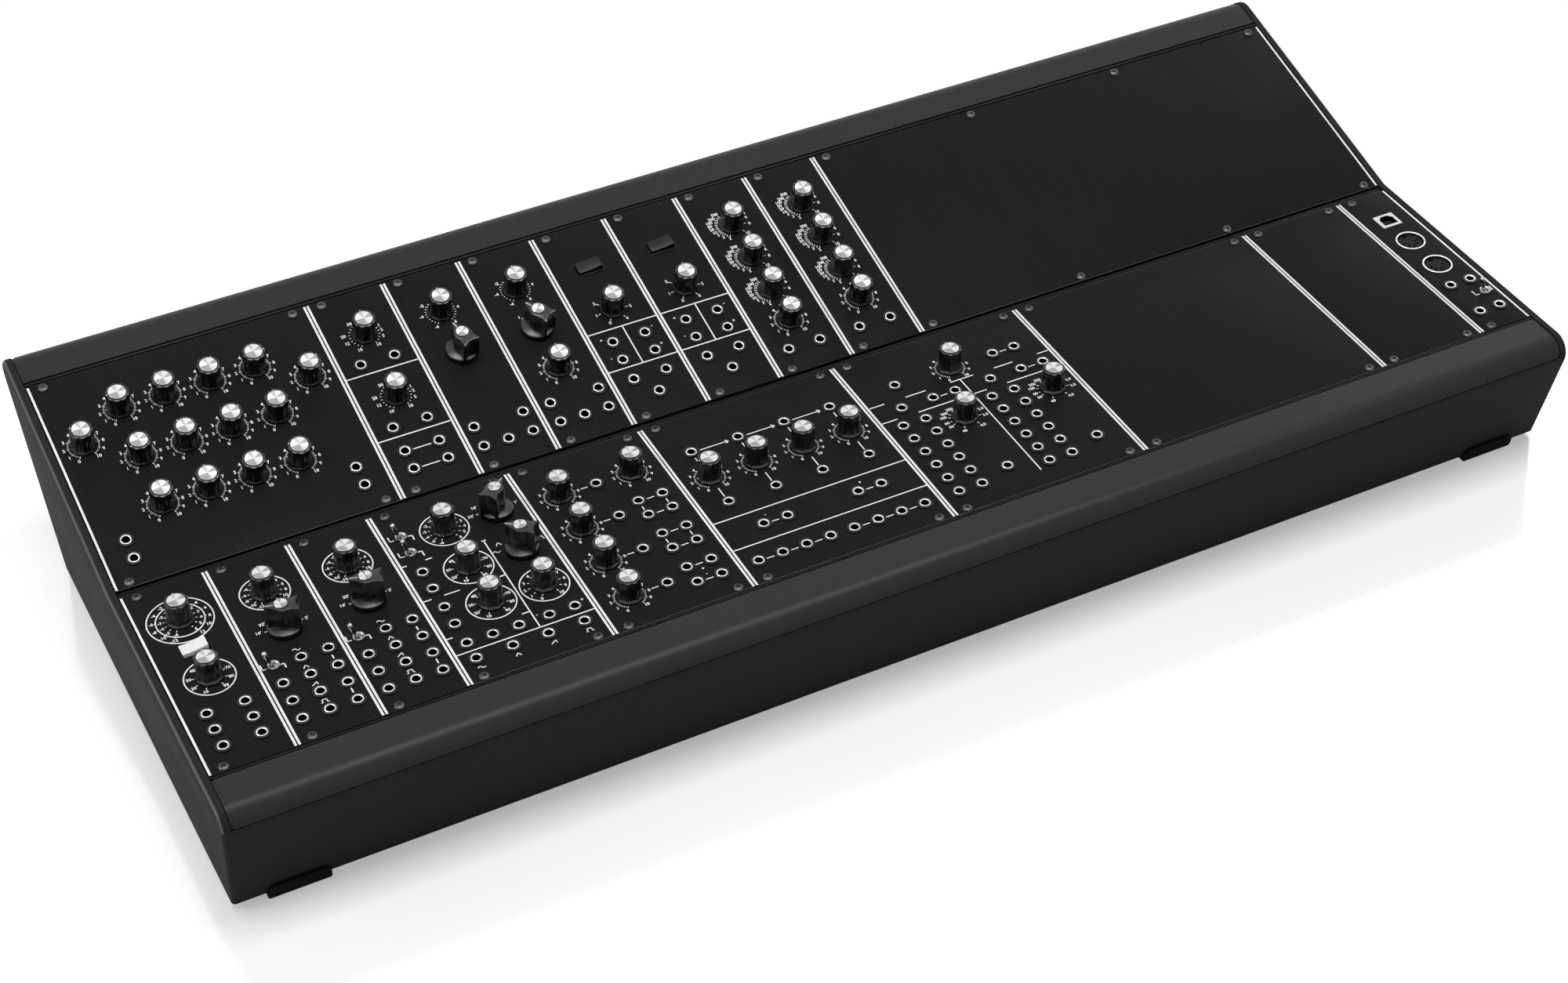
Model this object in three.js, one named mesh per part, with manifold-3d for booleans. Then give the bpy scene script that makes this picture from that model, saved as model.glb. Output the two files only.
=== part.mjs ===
// A modular synthesizer: two tiers of 3U rack modules in a low folded-metal desktop case.
// Millimetres, +Z up, +X to the player's right, +Y to the back. The origin is on the table under
// the middle of the case. The front tier of panels lies flat and the rear tier slopes up behind it.
import * as THREE from "three";
import { mergeVertices } from "three/addons/utils/BufferGeometryUtils.js";
import Module from "manifold-3d";

// Rack standard: one HP of width, the 3U panel and the number of HP across the case
const hp = 5.08;
const panelHeight = 128.5;
const panelThickness = 2;
const rackUnits = 140;
const panelJoint = 0.3;
const rowMargin = 14.1;

// Case
const tierAngle = THREE.MathUtils.degToRad(14.75);
const tierGap = 5;
const cheekThickness = 4.4;
const cheekClearance = 0.6;
const sheet = 2;
const baseDrop = 68;
const frontLedge = 16.6;
const rearLedge = 15.5;
const edgeRadius = 10;
const frontLean = THREE.MathUtils.degToRad(12.2);
const rearLean = THREE.MathUtils.degToRad(26.3);
const coverSink = 0.3;
const coverFlange = 9;
const coverWrap = THREE.MathUtils.degToRad(87);
const coverSeam = THREE.MathUtils.degToRad(3.4);
const arcSteps = 6;

// Rails under the panels
const railDepth = 8;
const railWidth = 9.5;
const frontGroove = 1.8;
const rearGroove = 2.8;

// Fits
const seatGap = 0.3;
const turnGap = 0.4;
const overrun = 20;

// Feet
const footHeight = 2;
const footWidth = 34;
const footProud = 2;
const footClimb = 6.5;
const footDepth = 30;
const footInset = 12.6;

// What lies behind the panels
const boardThickness = 1.6;
const boardDepth = 12;
const boardMargin = 1.2;
const boardEndMargin = 12;
const socketBody = 9;
const potBody = 9.6;

// 3.5 mm sockets
const socketNutRadius = 4;
const socketNutHeight = 1.1;
const socketBoreRadius = 1.9;
const socketBoreDepth = 7;
const socketSides = 6;

// Round knobs
const knobHeight = 12.4;
const knobSkirtRadius = 6.5;
const knobRimRadius = 5.65;
const knobWaistRadius = 5.75;
const knobSkirtHeight = 2.2;
const knobCapRadius = 4.4;
const knobCapRise = 0.6;
const knobSides = 8;
const shaftRadius = 3;
const shaftLength = 7;
const shaftSides = 6;

// Pointer knobs
const pointerSkirtRadius = 8.2;
const pointerSkirtHeight = 3;
const pointerHeight = 15.4;
const pointerCapRadius = 3.25;
const pointerCapRise = 0.9;
const pointerSides = 10;
const pointerHubRadius = 5;
const pointerReach = 7.7;
const pointerTail = 8;

// Rocker switches
const rockerLength = 12.6;
const rockerWidth = 6.8;
const rockerRise = 3.2;
const rockerDip = 1;
const rockerDrop = 3.4;
const rockerPivotDrop = 1.5;
const rockerTilt = THREE.MathUtils.degToRad(8);
const rockerBezelLength = 14.8;
const rockerBezelWidth = 8;
const rockerBezelRise = 0.6;
const rockerBezelWall = 0.45;
const rockerWellDepth = 7;

// Toggle switches
const toggleNutRadius = 2.95;
const toggleNutHeight = 1.7;
const toggleBoreRadius = 2.3;
const toggleBoreDepth = 4;
const toggleLean = THREE.MathUtils.degToRad(17);
const togglePivotDrop = 1.5;
const toggleReach = 12.3;
const toggleTipRadius = 1.3;
const toggleNeckRadius = 0.75;
const toggleBallRadius = 1.2;
const toggleTailLength = 2;
const toggleSides = 8;

// Computer sockets on the converter module
const usbPlateWidth = 12;
const usbPlateHeight = 10.8;
const usbPlateRise = 0.6;
const usbMouthWidth = 8.4;
const usbMouthHeight = 7.7;
const usbMouthChamfer = 2.2;
const usbMouthDepth = 9;
const usbTongueWidth = 5.4;
const usbTongueHeight = 3;
const usbShellWall = 1.2;
const dinRingRadius = 8;
const dinRingRise = 0.6;
const dinGrooveRadius = 7.1;
const dinFaceRadius = 6.1;
const dinDepth = 8;
const dinSides = 12;

// Power board in the base
const busBoardLength = 620;
const busBoardDepth = 62;
const busBoardY = 128;
const busStandoffSize = 8;
const busStandoffHeight = 5;
const busHeaderCount = 16;
const busHeaderLength = 20;
const busHeaderWidth = 9;
const busHeaderHeight = 9;
const supplyWidth = 74;
const supplyHeight = 28;
const supplyRearGap = 3;
const supplyX = -290;
const inletHeight = 20;
const inletLength = 24;
const inletRadius = 5.5;
const inletBoreRadius = 3.2;
const inletBoreDepth = 9;
const inletProud = 1;
const inletSides = 12;

// Module layout. Places are shares from the lower left: of each panel's width, and of the height
// between its row margins.
// A turning knob, pointer, rocker or toggle starts with its own name and becomes a separate piece.
const bankColumnShares = [0.259, 0.42, 0.58, 0.741];
const bankRowShares = [0.865, 0.559, 0.257];
const pairShares = [0.281, 0.719];
const tripleShares = [0.18, 0.5, 0.82];
const mixerRowShares = [0.868, 0.602, 0.335, 0.068];
const mixerPairShares = [0.678, 0.856];
const attenuatorColumnShares = [0.143, 0.381, 0.619, 0.857];
const interfaceColumnShares = [0.094, 0.213, 0.567, 0.687];
const interfaceRowShares = [0.01, 0.122, 0.233, 0.344, 0.455, 0.565];
const multipleColumnShares = [0.083, 0.202, 0.321, 0.4405, 0.5595, 0.679, 0.798, 0.917];

const upperModuleShares = [
  {
    name: "filter_bank", units: 28,
    knobs: [...gridShares(bankColumnShares, bankRowShares), [0.098, 0.716], [0.902, 0.716]],
    sockets: gridShares([0.098, 0.902], [0.118, 0.007]),
  },
  {
    name: "dual_filter", units: 8,
    turning: [["dual_filter_upper_knob", 0.5, 0.866], ["dual_filter_lower_knob", 0.5, 0.454]],
    sockets: gridShares(pairShares, [0.69, 0.274, 0.122, 0.009]),
  },
  {
    name: "high_pass_filter", units: 8,
    turning: [["high_pass_knob", 0.5, 0.866]],
    pointers: [["high_pass_range_knob", 0.5, 0.591, 16]],
    sockets: [[0.18, 0.134], [0.82, 0.134], ...gridShares(tripleShares, [0.009])],
  },
  {
    name: "low_pass_filter", units: 8,
    turning: [["low_pass_upper_knob", 0.5, 0.866], ["low_pass_lower_knob", 0.5, 0.327]],
    pointers: [["low_pass_range_knob", 0.5, 0.591, 34]],
    sockets: [[0.18, 0.134], [0.82, 0.134], ...gridShares(tripleShares, [0.009])],
  },
  ...["left", "right"].map((side) => ({
    name: `amplifier_${side}`, units: 8,
    turning: [[`amplifier_${side}_knob`, 0.5, 0.575]],
    rockers: [[`amplifier_${side}_rocker`, 0.5, 0.861]],
    sockets: [...gridShares(pairShares, [0.372, 0.251, 0.12]), [0.5, 0.009]],
  })),
  ...["left", "right"].map((side) => ({
    name: `envelope_${side}`, units: 8,
    knobs: gridShares([0.5], [0.865, 0.63, 0.396, 0.185]),
    sockets: gridShares(pairShares, [0.009]),
  })),
  { name: "upper_blank_panel", units: 56 },
];

const lowerModuleShares = [
  {
    name: "driver_module", units: 8,
    turning: [["driver_upper_knob", 0.5, 0.868], ["driver_lower_knob", 0.5, 0.452]],
    rockers: [["driver_rocker", 0.5, 0.652]],
    rockerFinish: "rockerWhite",
    sockets: gridShares(pairShares, [0.229, 0.119, 0.008]),
  },
  ...["left", "right"].map((side) => ({
    name: `oscillator_${side}`, units: 8,
    turning: [[`oscillator_${side}_knob`, 0.5, 0.868]],
    pointers: [[`oscillator_${side}_range_knob`, 0.5, 0.593, 75]],
    toggles: [[`oscillator_${side}_toggle`, 0.18, 0.381]],
    sockets: [...gridShares(tripleShares, [0.256, 0.133, 0.008]), [0.5, 0.381], [0.82, 0.381]],
  })),
  {
    name: "main_oscillator", units: 14,
    turning: [
      ["main_oscillator_first_knob", 0.413, 0.899],
      ["main_oscillator_second_knob", 0.413, 0.599],
      ["main_oscillator_third_knob", 0.413, 0.327],
      ["main_oscillator_fourth_knob", 0.787, 0.327],
    ],
    pointers: [
      ["main_oscillator_upper_range_knob", 0.793, 0.9, -50],
      ["main_oscillator_lower_range_knob", 0.793, 0.594, 53],
    ],
    toggles: [
      ["main_oscillator_upper_toggle", 0.123, 0.931],
      ["main_oscillator_lower_toggle", 0.123, 0.805],
    ],
    sockets: [
      ...gridShares([0.123], [0.658, 0.531, 0.389, 0.263]),
      ...gridShares([0.123, 0.302, 0.484, 0.696, 0.875], [0.12]),
      ...gridShares([0.123, 0.375, 0.622, 0.873], [0.009]),
    ],
  },
  {
    name: "mixer_module", units: 14,
    knobs: gridShares([0.23], mixerRowShares),
    turning: [["mixer_master_knob", 0.766, 0.868]],
    sockets: [
      ...gridShares([0.5], mixerRowShares),
      ...gridShares(mixerPairShares, [0.657, 0.544, 0.391, 0.277, 0.123, 0.009]),
    ],
  },
  {
    name: "attenuator_module", units: 21,
    knobs: gridShares(attenuatorColumnShares, [0.661]),
    sockets: [
      ...gridShares(attenuatorColumnShares, [0.868, 0.454]),
      ...gridShares([0.214, 0.333, 0.69, 0.808], [0.233]),
      ...gridShares(multipleColumnShares, [0.009]),
    ],
  },
  {
    name: "interface_module", units: 21,
    knobs: [[0.5, 0.868], [0.38, 0.49], [0.855, 0.49]],
    sockets: [
      ...gridShares([0.203, 0.733, 0.851], [0.868]),
      ...gridShares([0.151, 0.318, 0.436, 0.627, 0.794, 0.914], [0.693]),
      ...gridShares(interfaceColumnShares, interfaceRowShares),
      ...gridShares([0.377, 0.854], [0.068]),
    ],
  },
  { name: "lower_wide_blank_panel", units: 28 },
  { name: "lower_narrow_blank_panel", units: 12 },
  {
    name: "converter_module", units: 6,
    usb: [0.499, 0.893],
    dins: [[0.497, 0.686], [0.497, 0.449]],
    toggles: [["converter_toggle", 0.738, 0.14]],
    sockets: gridShares([0.318, 0.728], [0.262, 0.012]),
  },
];

// Finishes
const finishes = {
  panel: finish(0x232323, 0.55, 0.35),
  caseGrey: finish(0x343434, 0.6, 0.3),
  profile: finish(0x2c2c2c, 0.35, 0.4),
  rail: finish(0x5a5c5e, 0.45, 0.9),
  rubber: finish(0x101010, 0.85, 0),
  knob: finish(0x0d0d0d, 0.3, 0),
  rockerBlack: finish(0x101010, 0.35, 0),
  rockerWhite: finish(0xe6e6e2, 0.35, 0),
  chrome: finish(0xd0d2d4, 0.15, 1),
  board: finish(0x12301c, 0.55, 0.1),
};

// Worked-out sizes
const rackWidth = rackUnits * hp;
const cheekInner = rackWidth / 2 + cheekClearance;
const caseWidth = 2 * (cheekInner + cheekThickness);
const upperStartY = panelHeight + tierGap;
const frontCentre = new THREE.Vector2(-frontLedge, -edgeRadius);
const rearCentre = upperPoint(panelHeight + rearLedge, -edgeRadius);
const frontWallNormal = Math.PI + frontLean;
const rearWallNormal = -rearLean;
const frontSeam = Math.PI / 2 + coverWrap;
const rearSeam = Math.PI / 2 + tierAngle - coverWrap;
const frontMost = frontCentre.x - edgeRadius;
const rearMost = rearCentre.x + edgeRadius;
const middleY = (frontMost + rearMost) / 2;
const floorZ = -baseDrop - footHeight;
const inletZ = inletHeight - baseDrop;

const wasm = await Module();
wasm.setup();

function finish(color, roughness, metalness) {
  return new THREE.MeshStandardMaterial({ color, roughness, metalness });
}

// All pairs of the given column and row shares
function gridShares(columnShares, rowShares) {
  return rowShares.flatMap((row) => columnShares.map((column) => [column, row]));
}

// Side-view point, as (y, z), from a place along the upper tier and a height above its panels
function upperPoint(along, height) {
  const cos = Math.cos(tierAngle);
  const sin = Math.sin(tierAngle);
  return new THREE.Vector2(upperStartY + along * cos - height * sin, along * sin + height * cos);
}

// Place up a panel from a row share
function rowHeight(share) {
  return rowMargin + share * (panelHeight - 2 * rowMargin);
}

function polar(centre, radius, angle) {
  return new THREE.Vector2(centre.x + radius * Math.cos(angle), centre.y + radius * Math.sin(angle));
}

function arc(centre, radius, fromAngle, toAngle) {
  const points = [];
  for (let step = 0; step <= arcSteps; step += 1) {
    points.push(polar(centre, radius, fromAngle + ((toAngle - fromAngle) * step) / arcSteps));
  }
  return points;
}

// Outer faces of the front and rear walls at a height, each leaning in towards the base
function frontWallY(z) {
  const start = polar(frontCentre, edgeRadius, frontWallNormal);
  return start.x + (start.y - z) * Math.tan(frontLean);
}

function rearWallY(z) {
  const start = polar(rearCentre, edgeRadius, rearWallNormal);
  return start.x - (start.y - z) * Math.tan(rearLean);
}

// Solids from three.js geometry
function solid(geometry) {
  const bare = geometry.clone();
  bare.deleteAttribute("normal");
  bare.deleteAttribute("uv");
  const merged = mergeVertices(bare);
  const mesh = new wasm.Mesh({
    numProp: 3,
    vertProperties: new Float32Array(merged.attributes.position.array),
    triVerts: new Uint32Array(merged.index.array),
  });
  return new wasm.Manifold(mesh);
}

function geometryOf(manifold) {
  const mesh = manifold.getMesh();
  const geometry = new THREE.BufferGeometry();
  geometry.setAttribute("position", new THREE.BufferAttribute(new Float32Array(mesh.vertProperties), 3));
  geometry.setIndex(new THREE.BufferAttribute(new Uint32Array(mesh.triVerts), 1));
  geometry.computeVertexNormals();
  return geometry;
}

function joined(solids) {
  return solids.reduce((whole, next) => whole.add(next));
}

function without(whole, cuts) {
  return cuts.length ? whole.subtract(joined(cuts)) : whole;
}

// Box between two corners
function block(low, high) {
  const size = new THREE.Vector3().subVectors(high, low);
  const centre = new THREE.Vector3().addVectors(low, high).multiplyScalar(1 / 2);
  const geometry = new THREE.BoxGeometry(size.x, size.y, size.z);
  geometry.translate(centre.x, centre.y, centre.z);
  return solid(geometry);
}

// Upright prism or cone frustum about a point of a panel
function post(x, y, bottom, top, radius, sides, topRadius = radius) {
  const geometry = new THREE.CylinderGeometry(topRadius, radius, top - bottom, sides);
  geometry.rotateX(Math.PI / 2);
  geometry.rotateZ(Math.PI / sides);
  geometry.translate(x, y, (top + bottom) / 2);
  return solid(geometry);
}

// Side-view outline, as (y, z) points, drawn out along X about a middle
function barAlongX(points, length, middleX = 0) {
  const geometry = new THREE.ExtrudeGeometry(new THREE.Shape(points), { depth: length, bevelEnabled: false });
  const turn = new THREE.Matrix4().makeBasis(
    new THREE.Vector3(0, 1, 0),
    new THREE.Vector3(0, 0, 1),
    new THREE.Vector3(1, 0, 0),
  );
  geometry.applyMatrix4(turn);
  geometry.translate(middleX - length / 2, 0, 0);
  return solid(geometry);
}

function piece(name, shape, material) {
  const mesh = new THREE.Mesh(geometryOf(shape), material);
  mesh.name = name;
  return mesh;
}

// Folded tub: base, front wall, rear wall and the two cheeks that frame the panels
function caseTub() {
  const outline = [
    new THREE.Vector2(frontWallY(-baseDrop), -baseDrop),
    new THREE.Vector2(rearWallY(-baseDrop), -baseDrop),
    ...arc(rearCentre, edgeRadius, rearWallNormal, Math.PI / 2 + tierAngle),
    new THREE.Vector2(upperStartY, 0),
    ...arc(frontCentre, edgeRadius, Math.PI / 2, frontWallNormal),
  ];
  const floor = sheet - baseDrop;
  const frontShift = sheet / Math.cos(frontLean);
  const rearShift = sheet / Math.cos(rearLean);
  const inner = edgeRadius - sheet;
  const outer = edgeRadius + overrun;
  const ceiling = rearCentre.y + outer;
  const hollow = [
    new THREE.Vector2(frontWallY(floor) + frontShift, floor),
    new THREE.Vector2(rearWallY(floor) - rearShift, floor),
    ...arc(rearCentre, inner, rearWallNormal, rearSeam),
    polar(rearCentre, outer, rearSeam),
    new THREE.Vector2(rearMost + overrun, ceiling),
    new THREE.Vector2(frontMost - overrun, ceiling),
    polar(frontCentre, outer, frontSeam),
    ...arc(frontCentre, inner, frontSeam, frontWallNormal),
  ];
  const tub = barAlongX(outline, caseWidth);
  const inletHole = inletPost(inletRadius + seatGap, -overrun, overrun);
  return without(tub, [barAlongX(hollow, 2 * cheekInner), inletHole]);
}

// Post along the rear wall's outward normal at the power inlet, between two distances from its face
function inletPost(radius, from, to) {
  const geometry = new THREE.CylinderGeometry(radius, radius, to - from, inletSides);
  geometry.translate(0, (to + from) / 2, 0);
  geometry.rotateX(-rearLean);
  geometry.translate(supplyX, rearWallY(inletZ), inletZ);
  return solid(geometry);
}

// Cover strip between the cheeks: a flat top, a rounded edge and a flange behind the rail.
// along points from the rounded edge to the panels and normal stands on the tier.
function coverStrip(centre, along, normal, ledge, groove, seam) {
  const outer = edgeRadius - coverSink;
  const inner = outer - sheet;
  const top = Math.atan2(normal.y, normal.x);
  const reach = ledge - groove;
  const at = (distance, height) => new THREE.Vector2(
    centre.x + along.x * distance + normal.x * height,
    centre.y + along.y * distance + normal.y * height,
  );
  const points = [
    ...arc(centre, outer, seam, top),
    at(reach, outer),
    at(reach, outer - coverFlange),
    at(reach - sheet, outer - coverFlange),
    at(reach - sheet, inner),
    ...arc(centre, inner, top, seam),
  ];
  return barAlongX(points, 2 * (cheekInner - seatGap));
}

function frontCover() {
  const along = new THREE.Vector2(1, 0);
  const normal = new THREE.Vector2(0, 1);
  return coverStrip(frontCentre, along, normal, frontLedge, frontGroove, frontSeam - coverSeam);
}

function rearCover() {
  const along = new THREE.Vector2(-Math.cos(tierAngle), -Math.sin(tierAngle));
  const normal = new THREE.Vector2(-Math.sin(tierAngle), Math.cos(tierAngle));
  return coverStrip(rearCentre, along, normal, rearLedge, rearGroove, rearSeam + coverSeam);
}

// Rails that the panels are screwed to
const railTop = -panelThickness - seatGap;
const railLength = 2 * (cheekInner - seatGap);

function frontRail() {
  const start = seatGap - frontGroove;
  const points = [
    new THREE.Vector2(start, railTop),
    new THREE.Vector2(start + railWidth, railTop),
    new THREE.Vector2(start + railWidth, railTop - railDepth),
    new THREE.Vector2(start, railTop - railDepth),
  ];
  return barAlongX(points, railLength);
}

function centreRail() {
  const kink = upperStartY - railTop * Math.tan(tierAngle / 2);
  const bottomKink = upperStartY - (railTop - railDepth) * Math.tan(tierAngle / 2);
  const start = upperStartY - tierGap - railWidth;
  const points = [
    new THREE.Vector2(start, railTop - railDepth),
    new THREE.Vector2(bottomKink, railTop - railDepth),
    upperPoint(railWidth, railTop - railDepth),
    upperPoint(railWidth, railTop),
    new THREE.Vector2(kink, railTop),
    new THREE.Vector2(start, railTop),
  ];
  return barAlongX(points, railLength);
}

function rearRail() {
  const end = panelHeight + rearGroove - seatGap;
  const points = [
    upperPoint(end - railWidth, railTop - railDepth),
    upperPoint(end, railTop - railDepth),
    upperPoint(end, railTop),
    upperPoint(end - railWidth, railTop),
  ];
  return barAlongX(points, railLength);
}

// Rubber corner foot: a pad under the base with a lip up the wall
function foot(wallY, lean, inwards, middleX) {
  const low = floorZ;
  const high = footClimb - baseDrop;
  const seat = -baseDrop - seatGap;
  const out = (z, distance) => wallY(z) - (inwards * distance) / Math.cos(lean);
  const points = [
    new THREE.Vector2(wallY(-baseDrop) + inwards * footDepth, low),
    new THREE.Vector2(out(low, footProud), low),
    new THREE.Vector2(out(high, footProud), high),
    new THREE.Vector2(out(high, seatGap), high),
    new THREE.Vector2(out(seat, seatGap), seat),
    new THREE.Vector2(wallY(-baseDrop) + inwards * footDepth, seat),
  ];
  return barAlongX(points, footWidth, middleX);
}

// Power distribution board on standoffs, with one header for each module's lead and the supply
// block, whose inlet looks out through the rear wall
function powerBoard() {
  const floor = sheet - baseDrop + seatGap;
  const boardBottom = floor + busStandoffHeight;
  const boardTop = boardBottom + boardThickness;
  const halfLength = busBoardLength / 2;
  const halfDepth = busBoardDepth / 2;
  const parts = [
    block(
      new THREE.Vector3(-halfLength, busBoardY - halfDepth, boardBottom),
      new THREE.Vector3(halfLength, busBoardY + halfDepth, boardTop),
    ),
  ];
  for (const sideX of [-1, 0, 1]) {
    for (const sideY of [-1, 1]) {
      const x = sideX * (halfLength - busStandoffSize);
      const y = busBoardY + sideY * (halfDepth - busStandoffSize);
      parts.push(block(
        new THREE.Vector3(x - busStandoffSize / 2, y - busStandoffSize / 2, floor),
        new THREE.Vector3(x + busStandoffSize / 2, y + busStandoffSize / 2, boardTop),
      ));
    }
  }
  const perRow = busHeaderCount / 2;
  for (let index = 0; index < busHeaderCount; index += 1) {
    const row = index < perRow ? -1 : 1;
    const x = ((index % perRow) + 1 / 2 - perRow / 2) * (busBoardLength / perRow);
    const y = busBoardY + (row * busBoardDepth) / 4;
    parts.push(block(
      new THREE.Vector3(x - busHeaderLength / 2, y - busHeaderWidth / 2, boardBottom),
      new THREE.Vector3(x + busHeaderLength / 2, y + busHeaderWidth / 2, boardTop + busHeaderHeight),
    ));
  }
  const supplyFront = busBoardY + halfDepth - boardThickness;
  const supplyRear = rearWallY(floor) - sheet / Math.cos(rearLean) - supplyRearGap;
  parts.push(block(
    new THREE.Vector3(supplyX - supplyWidth / 2, supplyFront, floor),
    new THREE.Vector3(supplyX + supplyWidth / 2, supplyRear, floor + supplyHeight),
  ));
  parts.push(inletPost(inletRadius, -inletLength, inletProud));
  return without(joined(parts), [inletPost(inletBoreRadius, inletProud - inletBoreDepth, overrun)]);
}

// Body of a round knob, turned up from its profile, standing a little off the panel
function knobBody(x, y, bottom) {
  const profile = [
    [0, bottom],
    [knobSkirtRadius, bottom],
    [knobWaistRadius, turnGap + knobSkirtHeight],
    [knobRimRadius, knobHeight],
    [knobCapRadius, knobHeight + knobCapRise],
    [0, knobHeight + knobCapRise],
  ];
  return turned(profile, knobSides, x, y);
}

// Lathe solid about an upright axis from (radius, height) pairs that start and end on the axis
function turned(profile, sides, x, y) {
  const points = profile.map(([radius, height]) => new THREE.Vector2(radius, height));
  const geometry = new THREE.LatheGeometry(points, sides);
  geometry.rotateX(Math.PI / 2);
  geometry.translate(x, y, 0);
  return solid(geometry);
}

function turningKnob() {
  return knobBody(0, 0, turnGap).add(shaft());
}

function shaft() {
  return post(0, 0, -shaftLength, turnGap + knobSkirtHeight, shaftRadius, shaftSides);
}

// Pointer knob: a round skirt, and a hub that narrows to the pointing arm and flares to a tail
function pointerKnob() {
  const outlineShares = [
    [1, 0.1], [1, -0.1], [0.62, -0.3], [0.15, -0.66], [-0.25, -0.5], [-0.9, -0.68], [-1, -0.42],
    [-0.88, 0], [-1, 0.42], [-0.9, 0.68], [-0.25, 0.5], [0.15, 0.66], [0.62, 0.3],
  ];
  const points = outlineShares.map(([share, side]) => new THREE.Vector2(
    -side * pointerReach,
    share * (share > 0 ? pointerReach : pointerTail),
  ));
  const body = new THREE.ExtrudeGeometry(new THREE.Shape(points), {
    depth: pointerHeight - turnGap,
    bevelEnabled: false,
  });
  body.translate(0, 0, turnGap);
  const skirt = turned([
    [0, turnGap],
    [pointerSkirtRadius, turnGap],
    [pointerSkirtRadius, turnGap + pointerSkirtHeight / 2],
    [pointerHubRadius, turnGap + pointerSkirtHeight],
    [0, turnGap + pointerSkirtHeight],
  ], pointerSides, 0, 0);
  const top = pointerHeight + pointerCapRise;
  const cap = post(0, 0, pointerHeight - pointerCapRise, top, pointerCapRadius, knobSides);
  return joined([solid(body), skirt, cap, shaft()]);
}

// Rocker: a dished key drawn across its width, on a pivot just below the panel face
function rocker() {
  const half = rockerLength / 2;
  const foot = half - rockerRise / 4;
  const outline = [
    [-half, rockerRise], [0, rockerRise - rockerDip], [half, rockerRise],
    [foot, -rockerPivotDrop], [0, -rockerPivotDrop - rockerDrop], [-foot, -rockerPivotDrop],
  ];
  const points = outline.map(([x, z]) => new THREE.Vector2(x, z));
  const geometry = new THREE.ExtrudeGeometry(new THREE.Shape(points), {
    depth: rockerWidth,
    bevelEnabled: false,
  });
  geometry.rotateX(Math.PI / 2);
  geometry.translate(0, rockerWidth / 2, rockerPivotDrop);
  geometry.rotateY(-rockerTilt);
  geometry.translate(0, 0, -rockerPivotDrop);
  return solid(geometry);
}

// Toggle lever: a ball in the bushing, a short tail and a bat that widens to its tip
function toggleLever() {
  const profile = [
    [0, -toggleTailLength],
    [toggleNeckRadius, -toggleTailLength],
    [toggleBallRadius, 0],
    [toggleNeckRadius, toggleBallRadius],
    [toggleTipRadius, toggleReach - toggleTipRadius],
    [toggleTipRadius * (2 / 3), toggleReach],
    [0, toggleReach],
  ];
  const points = profile.map(([radius, height]) => new THREE.Vector2(radius, height));
  const geometry = new THREE.LatheGeometry(points, toggleSides);
  geometry.rotateX(Math.PI / 2);
  geometry.rotateY(-toggleLean);
  geometry.translate(0, 0, -togglePivotDrop);
  return solid(geometry);
}

// Bodies of the sockets behind a panel, one strip for each row
function socketStrips(places) {
  const rows = new Map();
  for (const [x, y] of places) {
    rows.set(y, [...(rows.get(y) ?? []), x]);
  }
  const half = socketBody / 2;
  return [...rows].map(([y, columns]) => block(
    new THREE.Vector3(Math.min(...columns) - half, y - half, -boardDepth),
    new THREE.Vector3(Math.max(...columns) + half, y + half, -panelThickness / 2),
  ));
}

// One module: panel, circuit board, socket and pot bodies, socket nuts and its fixed knobs, with
// holes for sockets, shafts, levers and rockers
function modulePanel(spec) {
  const width = spec.units * hp - panelJoint;
  const place = ([x, y]) => [x * spec.units * hp - panelJoint / 2, rowHeight(y)];
  const parts = [block(
    new THREE.Vector3(0, 0, -panelThickness),
    new THREE.Vector3(width, panelHeight, 0),
  )];
  const cuts = [];
  const sockets = (spec.sockets ?? []).map(place);
  if (sockets.length) {
    parts.push(block(
      new THREE.Vector3(boardMargin, boardEndMargin / 2, -boardDepth - boardThickness),
      new THREE.Vector3(width - boardMargin, panelHeight - boardEndMargin, -boardDepth),
    ));
    parts.push(...socketStrips(sockets));
  }
  for (const [x, y] of sockets) {
    parts.push(post(x, y, -panelThickness / 2, socketNutHeight, socketNutRadius, socketSides));
    cuts.push(post(x, y, -socketBoreDepth, overrun, socketBoreRadius, socketSides));
  }
  for (const [x, y] of (spec.knobs ?? []).map(place)) {
    parts.push(knobBody(x, y, -panelThickness / 2));
  }
  const shafts = [...(spec.turning ?? []), ...(spec.pointers ?? [])];
  for (const [x, y] of shafts.map(([, ...share]) => place(share))) {
    parts.push(block(
      new THREE.Vector3(x - potBody / 2, y - potBody / 2, -boardDepth),
      new THREE.Vector3(x + potBody / 2, y + potBody / 2, -panelThickness / 2),
    ));
    const holeRadius = (shaftRadius + seatGap) / Math.cos(Math.PI / shaftSides);
    cuts.push(post(x, y, -shaftLength - seatGap, overrun, holeRadius, shaftSides));
  }
  for (const [x, y] of (spec.rockers ?? []).map(([, ...share]) => place(share))) {
    addRockerHousing(parts, cuts, x, y);
  }
  for (const [x, y] of (spec.toggles ?? []).map(([, ...share]) => place(share))) {
    parts.push(post(x, y, -boardDepth, toggleNutHeight, toggleNutRadius, toggleSides));
    const floor = -togglePivotDrop - toggleTailLength - seatGap;
    cuts.push(post(x, y, Math.min(floor, -toggleBoreDepth), overrun, toggleBoreRadius, toggleSides));
  }
  if (spec.usb) addUsbSocket(parts, cuts, ...place(spec.usb));
  for (const [x, y] of (spec.dins ?? []).map(place)) {
    addDinSocket(parts, cuts, x, y);
  }
  return without(joined(parts), cuts);
}

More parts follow.
